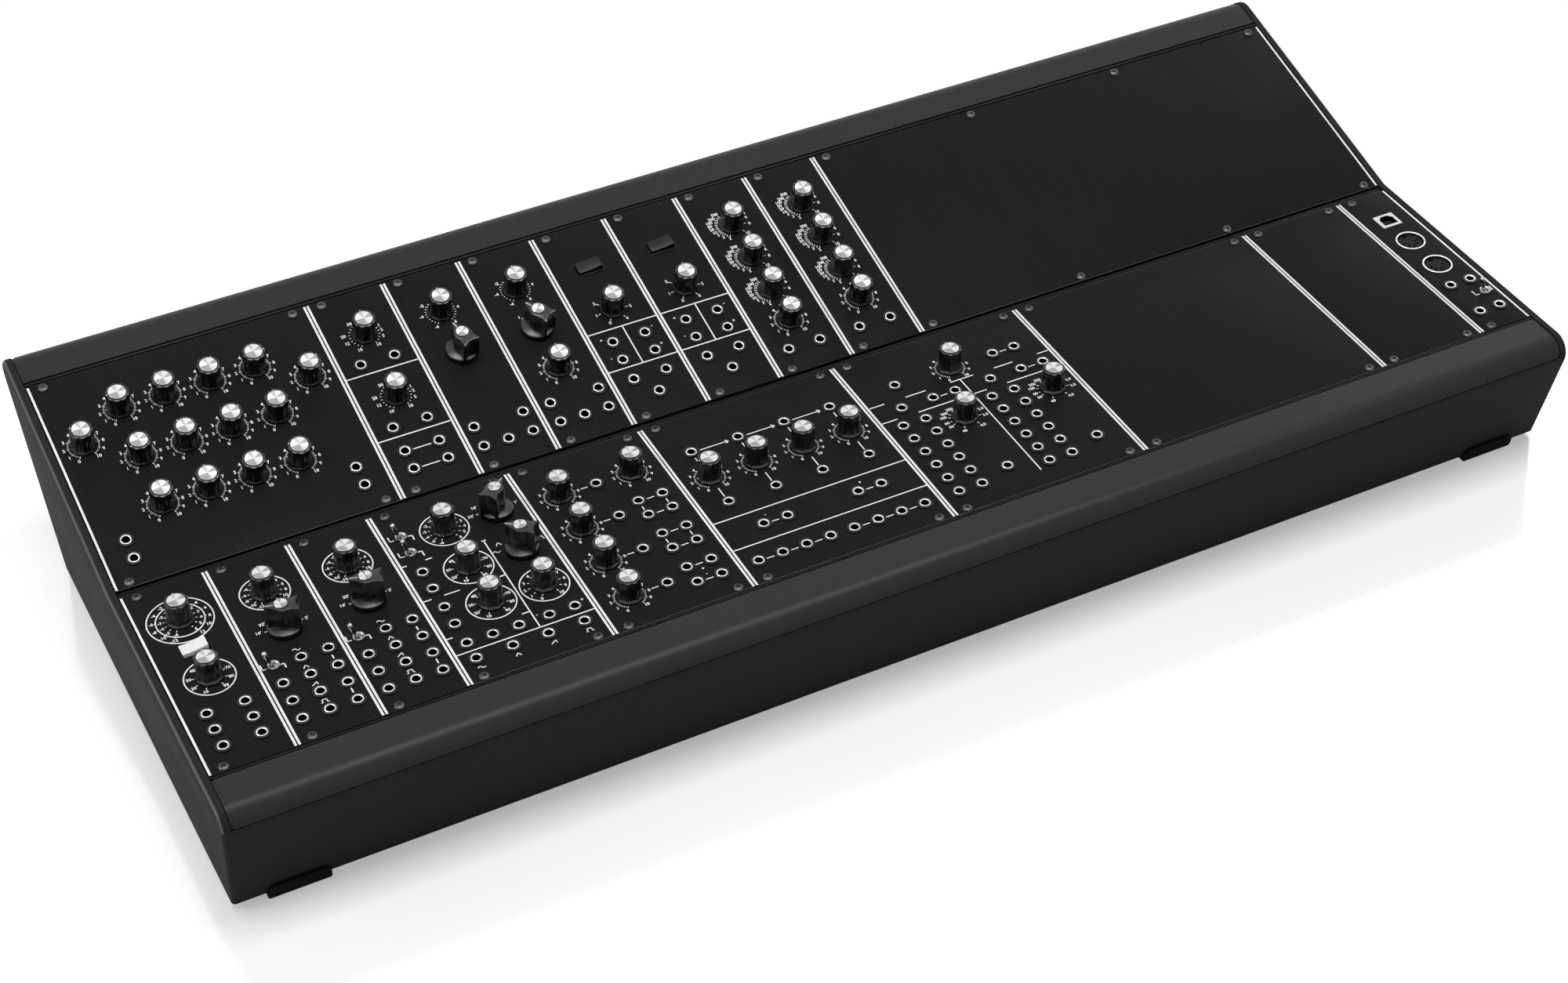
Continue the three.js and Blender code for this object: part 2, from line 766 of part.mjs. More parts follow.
function addRockerHousing(parts, cuts, x, y) {
  const outer = new THREE.Vector2(rockerBezelLength / 2, rockerBezelWidth / 2);
  parts.push(block(
    new THREE.Vector3(x - outer.x, y - outer.y, -boardDepth),
    new THREE.Vector3(x + outer.x, y + outer.y, rockerBezelRise),
  ));
  cuts.push(block(
    new THREE.Vector3(x - outer.x + rockerBezelWall, y - outer.y + rockerBezelWall / 2, -rockerWellDepth),
    new THREE.Vector3(x + outer.x - rockerBezelWall, y + outer.y - rockerBezelWall / 2, overrun),
  ));
}

// Square data socket: a white plate with a mouth cut off at its two far corners, and a tongue
function addUsbSocket(parts, cuts, x, y) {
  const half = new THREE.Vector2(usbMouthWidth / 2, usbMouthHeight / 2);
  parts.push(block(
    new THREE.Vector3(x - usbPlateWidth / 2, y - usbPlateHeight / 2, -panelThickness / 2),
    new THREE.Vector3(x + usbPlateWidth / 2, y + usbPlateHeight / 2, usbPlateRise),
  ));
  parts.push(block(
    new THREE.Vector3(x - half.x - usbShellWall, y - half.y - usbShellWall, -boardDepth),
    new THREE.Vector3(x + half.x + usbShellWall, y + half.y + usbShellWall, -panelThickness / 2),
  ));
  const mouth = new THREE.Shape([
    new THREE.Vector2(x - half.x, y - half.y),
    new THREE.Vector2(x + half.x, y - half.y),
    new THREE.Vector2(x + half.x, y + half.y - usbMouthChamfer),
    new THREE.Vector2(x + half.x - usbMouthChamfer, y + half.y),
    new THREE.Vector2(x - half.x + usbMouthChamfer, y + half.y),
    new THREE.Vector2(x - half.x, y + half.y - usbMouthChamfer),
  ]);
  const hole = new THREE.ExtrudeGeometry(mouth, { depth: usbMouthDepth + overrun, bevelEnabled: false });
  hole.translate(0, 0, -usbMouthDepth);
  const tongue = block(
    new THREE.Vector3(x - usbTongueWidth / 2, y - usbTongueHeight / 2, -usbMouthDepth - usbShellWall),
    new THREE.Vector3(x + usbTongueWidth / 2, y + usbTongueHeight / 2, 0),
  );
  cuts.push(solid(hole).subtract(tongue));
}

// Round socket: a bright ring, a groove for the plug's sleeve and a plain face inside it
function addDinSocket(parts, cuts, x, y) {
  parts.push(post(x, y, -boardDepth, dinRingRise, dinRingRadius, dinSides));
  const groove = post(x, y, -dinDepth, overrun, dinGrooveRadius, dinSides);
  const face = post(x, y, -dinDepth - panelThickness, 0, dinFaceRadius, dinSides);
  cuts.push(groove.subtract(face));
}

// A row of modules from the left end of the rack, with its turning and tilting pieces in place
function moduleRow(specs) {
  const row = new THREE.Group();
  let left = -rackWidth / 2;
  for (const spec of specs) {
    const panel = piece(spec.name, modulePanel(spec), finishes.panel);
    panel.position.x = left + panelJoint / 2;
    row.add(panel);
    const width = spec.units * hp;
    const set = ([name, x, y, turn = 0], shape, material) => {
      const part = piece(name, shape, material);
      part.position.set(left + x * width, rowHeight(y), 0);
      part.rotation.z = THREE.MathUtils.degToRad(turn);
      row.add(part);
    };
    for (const entry of spec.turning ?? []) set(entry, turningKnob(), finishes.knob);
    for (const entry of spec.pointers ?? []) set(entry, pointerKnob(), finishes.knob);
    for (const entry of spec.toggles ?? []) set(entry, toggleLever(), finishes.chrome);
    for (const entry of spec.rockers ?? []) {
      set(entry, rocker(), finishes[spec.rockerFinish ?? "rockerBlack"]);
    }
    left += width;
  }
  return row;
}

// Assembly
const synthesizer = new THREE.Group();
synthesizer.position.set(0, -middleY, -floorZ);

synthesizer.add(piece("case_tub", caseTub(), finishes.caseGrey));
synthesizer.add(piece("front_cover_strip", frontCover(), finishes.profile));
synthesizer.add(piece("rear_cover_strip", rearCover(), finishes.profile));
synthesizer.add(piece("front_rail", frontRail(), finishes.rail));
synthesizer.add(piece("centre_rail", centreRail(), finishes.rail));
synthesizer.add(piece("rear_rail", rearRail(), finishes.rail));
synthesizer.add(piece("power_board", powerBoard(), finishes.board));

for (const [side, sign] of [["left", -1], ["right", 1]]) {
  const x = sign * (caseWidth / 2 - footInset - footWidth / 2);
  synthesizer.add(piece(`front_${side}_foot`, foot(frontWallY, frontLean, 1, x), finishes.rubber));
  synthesizer.add(piece(`rear_${side}_foot`, foot(rearWallY, rearLean, -1, x), finishes.rubber));
}

const lowerRow = moduleRow(lowerModuleShares);
const upperRow = moduleRow(upperModuleShares);
upperRow.position.y = upperStartY;
upperRow.rotation.x = tierAngle;
synthesizer.add(lowerRow, upperRow);

export default synthesizer;
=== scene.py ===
import math
from contextlib import contextmanager

import bmesh
import bpy
from mathutils import Matrix, Vector


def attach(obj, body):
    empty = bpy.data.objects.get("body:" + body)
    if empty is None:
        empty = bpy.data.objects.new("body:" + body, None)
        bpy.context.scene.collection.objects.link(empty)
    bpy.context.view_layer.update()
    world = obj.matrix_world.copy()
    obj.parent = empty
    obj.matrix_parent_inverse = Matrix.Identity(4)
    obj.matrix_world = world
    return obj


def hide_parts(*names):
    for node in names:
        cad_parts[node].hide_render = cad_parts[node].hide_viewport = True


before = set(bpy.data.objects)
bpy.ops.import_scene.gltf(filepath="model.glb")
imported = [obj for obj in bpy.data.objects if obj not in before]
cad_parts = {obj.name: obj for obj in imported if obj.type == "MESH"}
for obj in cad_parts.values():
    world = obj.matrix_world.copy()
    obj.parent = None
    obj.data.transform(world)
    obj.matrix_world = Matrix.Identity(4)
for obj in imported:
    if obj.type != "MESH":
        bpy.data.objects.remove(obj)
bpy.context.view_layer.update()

# Sizes are in millimetres on each panel: x from its left edge, y up it, z off its face
MM = 0.001
HP = 5.08
PANEL_HEIGHT = 128.5
PANEL_THICKNESS = 2.0
PANEL_JOINT = 0.3
RACK_WIDTH = 140 * HP
TIER_ANGLE = math.radians(14.75)
UPPER_START = 133.5
LOWER_TIER = Matrix.Translation((0, -0.12935, 0.07))
UPPER_TIER = Matrix.Translation((0, 0.00415, 0.07)) @ Matrix.Rotation(TIER_ANGLE, 4, "X")


# Camera

def set_up_camera():
    lens = bpy.data.cameras.new("view_lens")
    lens.sensor_width = 36
    lens.lens = 64.051
    lens.shift_x = -0.023285
    lens.shift_y = 0.125849
    camera = bpy.data.objects.new("view_camera", lens)
    camera.location = (-0.50730273, -0.99186567, 0.93957014)
    camera.rotation_euler = (0.796480971, 0.000739072, -0.481073864)
    bpy.context.collection.objects.link(camera)
    bpy.context.scene.camera = camera


set_up_camera()


# Bench work: picking, shaping and copying

def deselect():
    if bpy.context.mode != "OBJECT":
        bpy.ops.object.mode_set(mode="OBJECT")
    bpy.ops.object.select_all(action="DESELECT")


def pick(*pieces):
    deselect()
    for piece in pieces:
        piece.select_set(True)
    bpy.context.view_layer.objects.active = pieces[-1]


def named(name):
    piece = bpy.context.object
    piece.name = name
    piece.data.name = name
    return piece


@contextmanager
def shaping(piece):
    pick(piece)
    bpy.ops.object.mode_set(mode="EDIT")
    bpy.ops.mesh.select_all(action="SELECT")
    yield
    bpy.ops.mesh.select_mode(type="VERT")
    bpy.ops.mesh.select_all(action="SELECT")
    bpy.ops.mesh.remove_doubles(threshold=0.002 * MM)
    bpy.ops.mesh.normals_make_consistent(inside=False)
    bpy.ops.object.mode_set(mode="OBJECT")


def choose(kind, wanted):
    """Selects the points, edges or faces that a rule wants, on the piece being shaped"""
    bpy.ops.mesh.select_mode(type=kind)
    data = bpy.context.object.data
    mesh = bmesh.from_edit_mesh(data)
    if kind == "FACE":
        for face in mesh.faces:
            face.select_set(wanted(face.calc_center_median() / MM, face.normal))
    else:
        for item in mesh.edges if kind == "EDGE" else mesh.verts:
            ends = item.verts if kind == "EDGE" else [item]
            item.select_set(wanted(*[vertex.co / MM for vertex in ends]))
    mesh.select_flush_mode()
    bmesh.update_edit_mesh(data)


def pull(x=0, y=0, z=0):
    bpy.ops.mesh.extrude_region_move(TRANSFORM_OT_translate={"value": (x * MM, y * MM, z * MM)})


def swell(factor):
    bpy.ops.transform.resize(value=(factor, factor, 1), center_override=(0, 0, 0))


def round_edges(width, segments=2):
    bpy.ops.mesh.bevel(offset=width * MM, segments=segments, profile=0.5, affect="EDGES")


def soften(piece, angle=32):
    pick(piece)
    bpy.ops.object.shade_smooth_by_angle(angle=math.radians(angle))


def slab(name, low, high, edge=0.0, segments=1):
    """Block between two corners, with its edges taken off"""
    deselect()
    size = [(b - a) * MM for a, b in zip(low, high)]
    middle = [(a + b) / 2 * MM for a, b in zip(low, high)]
    bpy.ops.mesh.primitive_cube_add(size=1, location=middle, scale=size)
    piece = named(name)
    bpy.ops.object.transform_apply(location=True, rotation=True, scale=True)
    if edge:
        with shaping(piece):
            round_edges(edge, segments)
    return piece


def turned(name, profile, sides):
    """Round piece raised ring by ring from its (radius, height) profile"""
    deselect()
    radius, height = profile[0]
    place = (0, 0, height * MM)
    bpy.ops.mesh.primitive_circle_add(
        vertices=sides, radius=radius * MM, fill_type="NGON", location=place)
    piece = named(name)
    bpy.ops.object.transform_apply(location=True, rotation=True, scale=True)
    with shaping(piece):
        for next_radius, next_height in profile[1:]:
            pull(z=next_height - height)
            if next_radius != radius:
                swell(next_radius / radius)
            radius, height = next_radius, next_height
    return piece


def drawn(name, points, depth):
    """Outline drawn point by point and pulled out by a depth, as (x, y, z)"""
    deselect()
    first = tuple(value * MM for value in points[0])
    bpy.ops.mesh.primitive_plane_add(size=MM, location=first)
    piece = named(name)
    bpy.ops.object.mode_set(mode="EDIT")
    bpy.ops.mesh.select_all(action="SELECT")
    bpy.ops.mesh.merge(type="CENTER")
    for last, point in zip(points, points[1:]):
        step = tuple((b - a) * MM for a, b in zip(last, point))
        bpy.ops.mesh.extrude_vertices_move(TRANSFORM_OT_translate={"value": step})
    bpy.ops.mesh.select_all(action="SELECT")
    bpy.ops.mesh.edge_face_add()
    pull(*depth)
    bpy.ops.object.mode_set(mode="OBJECT")
    bpy.ops.object.transform_apply(location=True, rotation=True, scale=True)
    with shaping(piece):
        pass
    return piece


def across(name, outline, low, high):
    """Side-view outline, as (y, z), pulled out along x"""
    return drawn(name, [(low, y, z) for y, z in outline], (high - low, 0, 0))


def cut(piece, tool):
    pick(piece)
    bpy.ops.object.modifier_add(type="BOOLEAN")
    modifier = piece.modifiers[-1]
    modifier.operation = "DIFFERENCE"
    modifier.solver = "EXACT"
    modifier.object = tool
    bpy.ops.object.modifier_apply(modifier=modifier.name)
    bpy.data.objects.remove(tool)


def copied(template, place):
    piece = template.copy()
    piece.data = template.data.copy()
    piece.data.transform(place)
    bpy.context.collection.objects.link(piece)
    return piece


def joined(name, pieces):
    pick(*pieces)
    if len(pieces) > 1:
        bpy.ops.object.join()
    return named(name)


def spot(x, y, turn=0.0, z=0.0):
    """Place on a panel, turned anticlockwise by degrees"""
    where = Matrix.Translation(Vector((x, y, z)) * MM)
    return where @ Matrix.Rotation(math.radians(turn), 4, "Z")


# Finishes

def tone(code):
    parts = [int(code[i:i + 2], 16) / 255 for i in (0, 2, 4)]
    return [p / 12.92 if p <= 0.04045 else ((p + 0.055) / 1.055) ** 2.4 for p in parts] + [1]


def add_node(tree, kind, inputs=None, **settings):
    """New node with its settings and the values of its inputs"""
    node = tree.nodes.new(kind)
    for key, value in settings.items():
        setattr(node, key, value)
    for key, value in (inputs or {}).items():
        node.inputs[key].default_value = value
    return node


def wire(tree, giver, output, taker, target):
    tree.links.new(giver.outputs[output], taker.inputs[target])


def shader_of(tree):
    return tree.nodes["Principled BSDF"]


def new_finish(name, roughness=0.5, metallic=0.0, specular=0.5):
    material = bpy.data.materials.new(name)
    material.use_nodes = True
    shader = shader_of(material.node_tree)
    shader.inputs["Roughness"].default_value = roughness
    shader.inputs["Metallic"].default_value = metallic
    shader.inputs["Specular IOR Level"].default_value = specular
    return material, material.node_tree


def grain(tree, size, detail=2.0, tilt=0.0):
    """Noise node whose spots have this size in millimetres along x, y and z"""
    coords = add_node(tree, "ShaderNodeTexCoord")
    spread = {"Rotation": (tilt, 0, 0), "Scale": [value * MM for value in size]}
    mapping = add_node(tree, "ShaderNodeMapping", spread, vector_type="TEXTURE")
    noise = add_node(tree, "ShaderNodeTexNoise", {"Scale": 1, "Detail": detail})
    wire(tree, coords, "Object", mapping, "Vector")
    wire(tree, mapping, "Vector", noise, "Vector")
    return noise


def colour_by(tree, noise, dark, light, low=0.35, high=0.65):
    ramp = add_node(tree, "ShaderNodeValToRGB")
    for stop, position, code in zip(ramp.color_ramp.elements, (low, high), (dark, light)):
        stop.position, stop.color = position, tone(code)
    wire(tree, noise, "Fac", ramp, "Fac")
    wire(tree, ramp, "Color", shader_of(tree), "Base Color")
    return ramp


def roughness_by(tree, noise, low, high):
    limits = {"From Min": 0.3, "From Max": 0.7, "To Min": low, "To Max": high}
    spread = add_node(tree, "ShaderNodeMapRange", limits)
    wire(tree, noise, "Fac", spread, "Value")
    wire(tree, spread, "Result", shader_of(tree), "Roughness")


def relief_by(tree, noise, depth, strength):
    bump = add_node(tree, "ShaderNodeBump", {"Distance": depth * MM, "Strength": strength})
    wire(tree, noise, "Fac", bump, "Height")
    wire(tree, bump, "Normal", shader_of(tree), "Normal")


def panel_finish(name, tilt, dark, light):
    material, tree = new_finish(name, specular=0.035)
    colour_by(tree, grain(tree, (0.5, 60, 60), 5.0, tilt), dark, light, 0.25, 0.75)
    roughness_by(tree, grain(tree, (45, 60, 60), tilt=tilt), 0.42, 0.54)
    relief_by(tree, grain(tree, (0.25, 0.25, 0.25), tilt=tilt), 0.02, 0.35)
    return material


def painted_finish(name, dark, light, specular, low, high, depth=0.04):
    material, tree = new_finish(name, specular=specular)
    speckle = grain(tree, (0.45, 0.45, 0.45))
    colour_by(tree, speckle, dark, light)
    roughness_by(tree, grain(tree, (30, 30, 30)), low, high)
    relief_by(tree, speckle, depth, 0.4)
    return material


def moulded_finish(name, dark, light, specular, low, high):
    material, tree = new_finish(name, specular=specular)
    clouds = grain(tree, (8, 8, 12))
    colour_by(tree, clouds, dark, light)
    roughness_by(tree, clouds, low, high)
    relief_by(tree, grain(tree, (0.5, 0.5, 0.5)), 0.002, 0.1)
    return material


def metal_finish(name, dark, light, low, high, size):
    material, tree = new_finish(name, metallic=1.0)
    wear = grain(tree, size, 4.0)
    colour_by(tree, wear, dark, light)
    roughness_by(tree, wear, low, high)
    relief_by(tree, wear, 0.002, 0.1)
    return material


# Painted reflection: grey and white sectors of the cap's colour, set by the way round it
CAP_PAINTED_REFLECTIONS = [
    (0.08, "a8a8a8"), (0.105, "e2e2e2"), (0.235, "eaeaea"), (0.255, "a2a2a2"), (0.275, "dedede"),
    (0.30, "a8a8a8"), (0.325, "e4e4e4"), (0.50, "dadada"), (0.53, "8c8a88"), (0.56, "aaa6a2"),
    (0.74, "b0aca8"), (0.785, "e2e2e2"), (0.965, "e6e6e6"),
]


def cap_finish():
    """Turned metal: fine rings round the middle, with broad grey and white sectors of painted reflection"""
    material, tree = new_finish("spun_cap_metal_painted_reflections", metallic=0.9)
    shader = shader_of(tree)
    shader.inputs["Anisotropic"].default_value = 0.7
    tangent = add_node(tree, "ShaderNodeTangent", direction_type="UV_MAP", uv_map="turning")
    coords = add_node(tree, "ShaderNodeUVMap", uv_map="turning")
    split = add_node(tree, "ShaderNodeSeparateXYZ")
    ramp = add_node(tree, "ShaderNodeValToRGB")
    stops = ramp.color_ramp.elements
    for stop in stops:
        stop.color = tone("9c9c9c")
    for position, code in CAP_PAINTED_REFLECTIONS:
        stops.new(position).color = tone(code)
    rings = add_node(tree, "ShaderNodeTexNoise", {"Scale": 60, "Detail": 4}, noise_dimensions="1D")
    wire(tree, tangent, "Tangent", shader, "Tangent")
    wire(tree, coords, "UV", split, "Vector")
    wire(tree, split, "X", ramp, "Fac")
    wire(tree, ramp, "Color", shader, "Base Color")
    wire(tree, split, "Y", rings, "W")
    roughness_by(tree, rings, 0.16, 0.28)
    relief_by(tree, rings, 0.01, 0.3)
    return material


LACQUER_TOP = 0.0112


def board_finish():
    """Green lacquer low down, dark housings above it"""
    material, tree = new_finish("board_lacquer", specular=0.4)
    tracks = grain(tree, (2, 9, 9), 3.0)
    lacquer = colour_by(tree, tracks, "0e2a18", "1d4a2c", 0.45, 0.55)
    coords = add_node(tree, "ShaderNodeTexCoord")
    split = add_node(tree, "ShaderNodeSeparateXYZ")
    above = add_node(tree, "ShaderNodeMath", {1: LACQUER_TOP}, operation="GREATER_THAN")
    mix = add_node(tree, "ShaderNodeMix", {"B": tone("141414")}, data_type="RGBA")
    wire(tree, coords, "Object", split, "Vector")
    wire(tree, split, "Z", above, 0)
    wire(tree, above, "Value", mix, "Factor")
    wire(tree, lacquer, "Color", mix, "A")
    wire(tree, mix, "Result", shader_of(tree), "Base Color")
    roughness_by(tree, tracks, 0.35, 0.5)
    return material


LOWER_PANEL = panel_finish("lower_panel_anodised", 0.0, "161616", "1d1d1d")
UPPER_PANEL = panel_finish("upper_panel_anodised", TIER_ANGLE, "161616", "1e1e1e")
CASE_PAINT = painted_finish("case_powder_paint", "282828", "303030", 0.025, 0.5, 0.56)
# Painted highlight: lighter, glossier paint for the rounded rims of the cheeks
CASE_RIM_HIGHLIGHT = painted_finish("case_rim_painted_highlight", "464646", "4e4e4e", 0.35, 0.34, 0.4, 0.01)
COVER_METAL = painted_finish("cover_anodised", "2a2a2a", "323232", 0.12, 0.3, 0.36, 0.02)
RAIL_METAL = metal_finish("rail_aluminium", "1e1e1e", "2a2a2a", 0.4, 0.5, (60, 0.5, 0.5))
# Painted highlight: lighter finish for the forward-facing rounded edge of a panel
PANEL_EDGE_HIGHLIGHT = painted_finish("panel_edge_painted_highlight", "3c3c3c", "4a4a4a", 0.15, 0.4, 0.5, 0.01)
RUBBER = painted_finish("foot_rubber", "101010", "181818", 0.08, 0.75, 0.9, 0.08)
KNOB_BLACK = moulded_finish("knob_moulding", "060606", "090909", 0.6, 0.24, 0.3)
ROCKER_BLACK = moulded_finish("black_rocker_moulding", "121212", "1a1a1a", 0.2, 0.35, 0.45)
ROCKER_WHITE = moulded_finish("white_rocker_moulding", "ededea", "f6f6f4", 0.4, 0.35, 0.45)
CHROME = metal_finish("toggle_chrome", "98999b", "b8b9bb", 0.1, 0.18, (2, 2, 2))
NICKEL = metal_finish("socket_nickel", "c0c1c2", "dcddde", 0.18, 0.26, (2, 2, 2))
SOCKET_BLACK = moulded_finish("socket_moulding", "050505", "090909", 0.3, 0.22, 0.3)
SCREW_BLACK = metal_finish("screw_black_zinc", "404040", "565656", 0.3, 0.4, (1, 1, 1))
SOCKET_FACE = moulded_finish("socket_face_black", "0e0e0e", "151515", 0.12, 0.5, 0.6)
BORE_BLACK = moulded_finish("socket_bore_black", "020202", "040404", 0.02, 0.6, 0.8)
CAP_METAL = cap_finish()
BOARD = board_finish()
DATA_WHITE = moulded_finish("data_socket_shell", "dedede", "ececec", 0.4, 0.35, 0.5)
INK = moulded_finish("print_ink", "ececec", "f6f6f6", 0.2, 0.5, 0.65)


def complete(piece, body, slot, finish, *nodes):
    piece.data.materials.clear()
    piece.data.materials.append(finish)
    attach(piece, body)
    if nodes:
        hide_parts(*nodes)
    return piece


# What each module carries. Fixed knobs have x, y and turn. What moves is named after
# its body and has x and y, and on a pointer knob its turn too.

MIDDLE = 4 * HP
PAIR = (11.42, 29.22)
TRIPLE = (7.32, MIDDLE, 33.32)
MIXER_ROWS = (101.16, 74.48, 47.7, 20.92)
MIXER_PAIR = (48.22, 60.88)
MIXER_PAIR_ROWS = (80, 68.66, 53.32, 41.88, 26.44, 15)
ATTENUATOR_COLUMNS = (15.26, 40.65, 66.03, 91.42)
MULTIPLE_COLUMNS = (8.85, 21.55, 34.24, 46.99, 59.69, 72.44, 85.13, 97.83)


def grid(columns, rows):
    return [(x, y) for y in rows for x in columns]


def with_turns(places, *turns):
    return [(*place, turn) for place, turn in zip(places, turns)]


def amplifier(side):
    return {
        "units": 8, "sockets": grid(PAIR, (51.41, 39.28, 26.14)) + [(MIDDLE, 15)],
        "shafts": {f"amplifier_{side}_knob": (MIDDLE, 71.77)},
        "rockers": {f"amplifier_{side}_rocker": (MIDDLE, 100.46)}}


def oscillator(side):
    return {
        "units": 8, "sockets": grid(TRIPLE, (39.78, 27.44, 14.9)) + grid(TRIPLE[1:], (52.31,)),
        "shafts": {
            f"oscillator_{side}_knob": (MIDDLE, 101.16),
            f"oscillator_{side}_range_knob": (MIDDLE, 73.58, 75)},
        "toggles": {f"oscillator_{side}_toggle": (7.32, 52.31)}}


FILTER_SOCKETS = grid((7.32, 33.32), (27.54,)) + grid(TRIPLE, (15,))
ENVELOPE = {
    "units": 8, "sockets": grid(PAIR, (15,)),
    "knobs": [(MIDDLE, y, 0) for y in (100.86, 77.29, 53.82, 32.66)]}

MODULES = {
    "filter_bank": {
        "units": 28, "sockets": grid((13.94, 128.3), (25.94, 14.8)),
        "knobs": with_turns(
            grid((36.84, 59.74, 82.5, 105.4), (100.86, 70.17, 39.88)) + grid((13.94, 128.3), (85.91,)),
            90, 30, -31, -90, 119, 30, -60, 0, -59, 0, -30, 61, 62, -61)},
    "dual_filter": {
        "units": 8, "sockets": grid(PAIR, (83.31, 41.58, 26.34, 15)),
        "shafts": {"dual_filter_upper_knob": (MIDDLE, 100.96), "dual_filter_lower_knob": (MIDDLE, 59.64)}},
    "high_pass_filter": {
        "units": 8, "sockets": FILTER_SOCKETS,
        "shafts": {"high_pass_knob": (MIDDLE, 100.96), "high_pass_range_knob": (MIDDLE, 73.38, 16)}},
    "low_pass_filter": {
        "units": 8, "sockets": FILTER_SOCKETS,
        "shafts": {
            "low_pass_upper_knob": (MIDDLE, 100.96), "low_pass_range_knob": (MIDDLE, 73.38, 34),
            "low_pass_lower_knob": (MIDDLE, 46.9)}},
    "amplifier_left": amplifier("left"),
    "amplifier_right": amplifier("right"),
    "envelope_left": ENVELOPE,
    "envelope_right": ENVELOPE,
    "upper_blank_panel": {"units": 56, "screws": [7.5, 96.4, 187.84, 276.74]},
    "driver_module": {
        "units": 8, "sockets": grid(PAIR, (37.07, 26.04, 14.9)),
        "shafts": {"driver_upper_knob": (MIDDLE, 101.16), "driver_lower_knob": (MIDDLE, 59.44)},
        "rockers": {"driver_rocker": (MIDDLE, 79.5)}},
    "oscillator_left": oscillator("left"),
    "oscillator_right": oscillator("right"),
    "main_oscillator": {
        "units": 14,
        "sockets": grid((8.75,), (80.1, 67.36, 53.12, 40.48))
        + grid((8.75, 21.48, 34.42, 49.5, 62.23), (26.14,)) + grid((8.75, 26.67, 44.24, 62.09), (15,)),
        "shafts": {
            "main_oscillator_first_knob": (29.37, 104.27), "main_oscillator_second_knob": (29.37, 74.18),
            "main_oscillator_third_knob": (29.37, 46.9), "main_oscillator_fourth_knob": (55.97, 46.9),
            "main_oscillator_upper_range_knob": (56.4, 104.37, -50),
            "main_oscillator_lower_range_knob": (56.4, 73.68, 53)},
        "toggles": {
            "main_oscillator_upper_toggle": (8.75, 107.48), "main_oscillator_lower_toggle": (8.75, 94.84)}},
    "mixer_module": {
        "units": 14, "knobs": [(16.36, y, 0) for y in MIXER_ROWS],
        "sockets": grid((35.56,), MIXER_ROWS) + grid(MIXER_PAIR, MIXER_PAIR_ROWS),
        "shafts": {"mixer_master_knob": (54.48, 101.16)}},
    "attenuator_module": {
        "units": 21, "knobs": with_turns(grid(ATTENUATOR_COLUMNS, (80.4,)), 90, 30, 0, -60),
        "sockets": grid(ATTENUATOR_COLUMNS, (101.16, 59.64))
        + grid((22.83, 35.52, 73.61, 86.2), (37.47,)) + grid(MULTIPLE_COLUMNS, (15,))},
    "interface_module": {
        "units": 21, "knobs": [(53.34, 101.16, 0), (40.54, 63.25, 0), (91.21, 63.25, 0)],
        "sockets": grid((21.66, 78.2, 90.78), (101.16,))
        + grid((16.11, 33.92, 46.51, 66.89, 84.7, 97.51), (83.61,)) + grid((40.22, 91.1), (20.92,))
        + grid((10.03, 22.72, 60.49, 73.29), (15.1, 26.34, 37.47, 48.6, 59.74, 70.77))},
    "lower_wide_blank_panel": {"units": 28},
    "lower_narrow_blank_panel": {"units": 12},
    "converter_module": {
        "units": 6, "sockets": grid((9.69, 22.19), (40.38, 15.3)),
        "toggles": {"converter_toggle": (22.49, 28.14)},
        "usb": (15.21, 103.67), "dins": [(15.15, 82.91), (15.15, 59.13)]},
}
UPPER_ROW = list(MODULES)[:9]


def places_of(spec, kind):
    """Where the pieces of a kind stand on a module, without their turn"""
    held = spec.get(kind, [])
    return [place[:2] for place in (held.values() if isinstance(held, dict) else held)]


def module_places():
    places = {}
    left = {True: -RACK_WIDTH / 2, False: -RACK_WIDTH / 2}
    for name, spec in MODULES.items():
        upper = name in UPPER_ROW
        tier = UPPER_TIER if upper else LOWER_TIER
        places[name] = tier @ Matrix.Translation((left[upper] * MM, 0, 0))
        left[upper] += spec["units"] * HP
    return places


PLACES = module_places()

# Stock pieces, made once about their own middle and copied

def round_stock(name, profile, sides=24, hole=None, angle=32):
    """Turned piece with its shading set, and with a hole through it where it has one"""
    piece = turned(name, profile, sides)
    if hole:
        cut(piece, turned(name + "_hole", [(hole, -9), (hole, 3)], sides))
    soften(piece, angle)
    return piece


def make_knob():
    """Nine-lobed knob with a scalloped skirt, the lobes drawn in where the flutes run"""
    knob = turned("knob_stock", [
        (6.4, 0.4), (6.6, 0.5), (6.62, 0.95), (6.5, 1.15), (6.0, 1.75), (5.86, 2.4), (5.8, 4.0),
        (5.76, 8.0), (5.74, 11.9), (5.66, 12.25), (5.4, 12.4), (4.55, 12.4), (4.45, 12.1), (4.0, 12.1)], 72)
    with shaping(knob):
        for low, high, squeezes in ((1.6, 12.3, (0.935, 0.948, 0.978)), (-1, 1.6, (0.955, 0.965, 0.985))):
            for column, squeeze in zip((4, 3, 2), squeezes):
                choose("VERT", lambda p: flute_column(p) == column and low < p.z < high and p.xy.length > 5)
                swell(squeeze)
    soften(knob, 40)
    return knob


def flute_column(point):
    """Steps of five degrees from the nearest lobe"""
    step = round(math.degrees(math.atan2(point.y, point.x)) / 5 + 72) % 8
    return min(step, 8 - step)


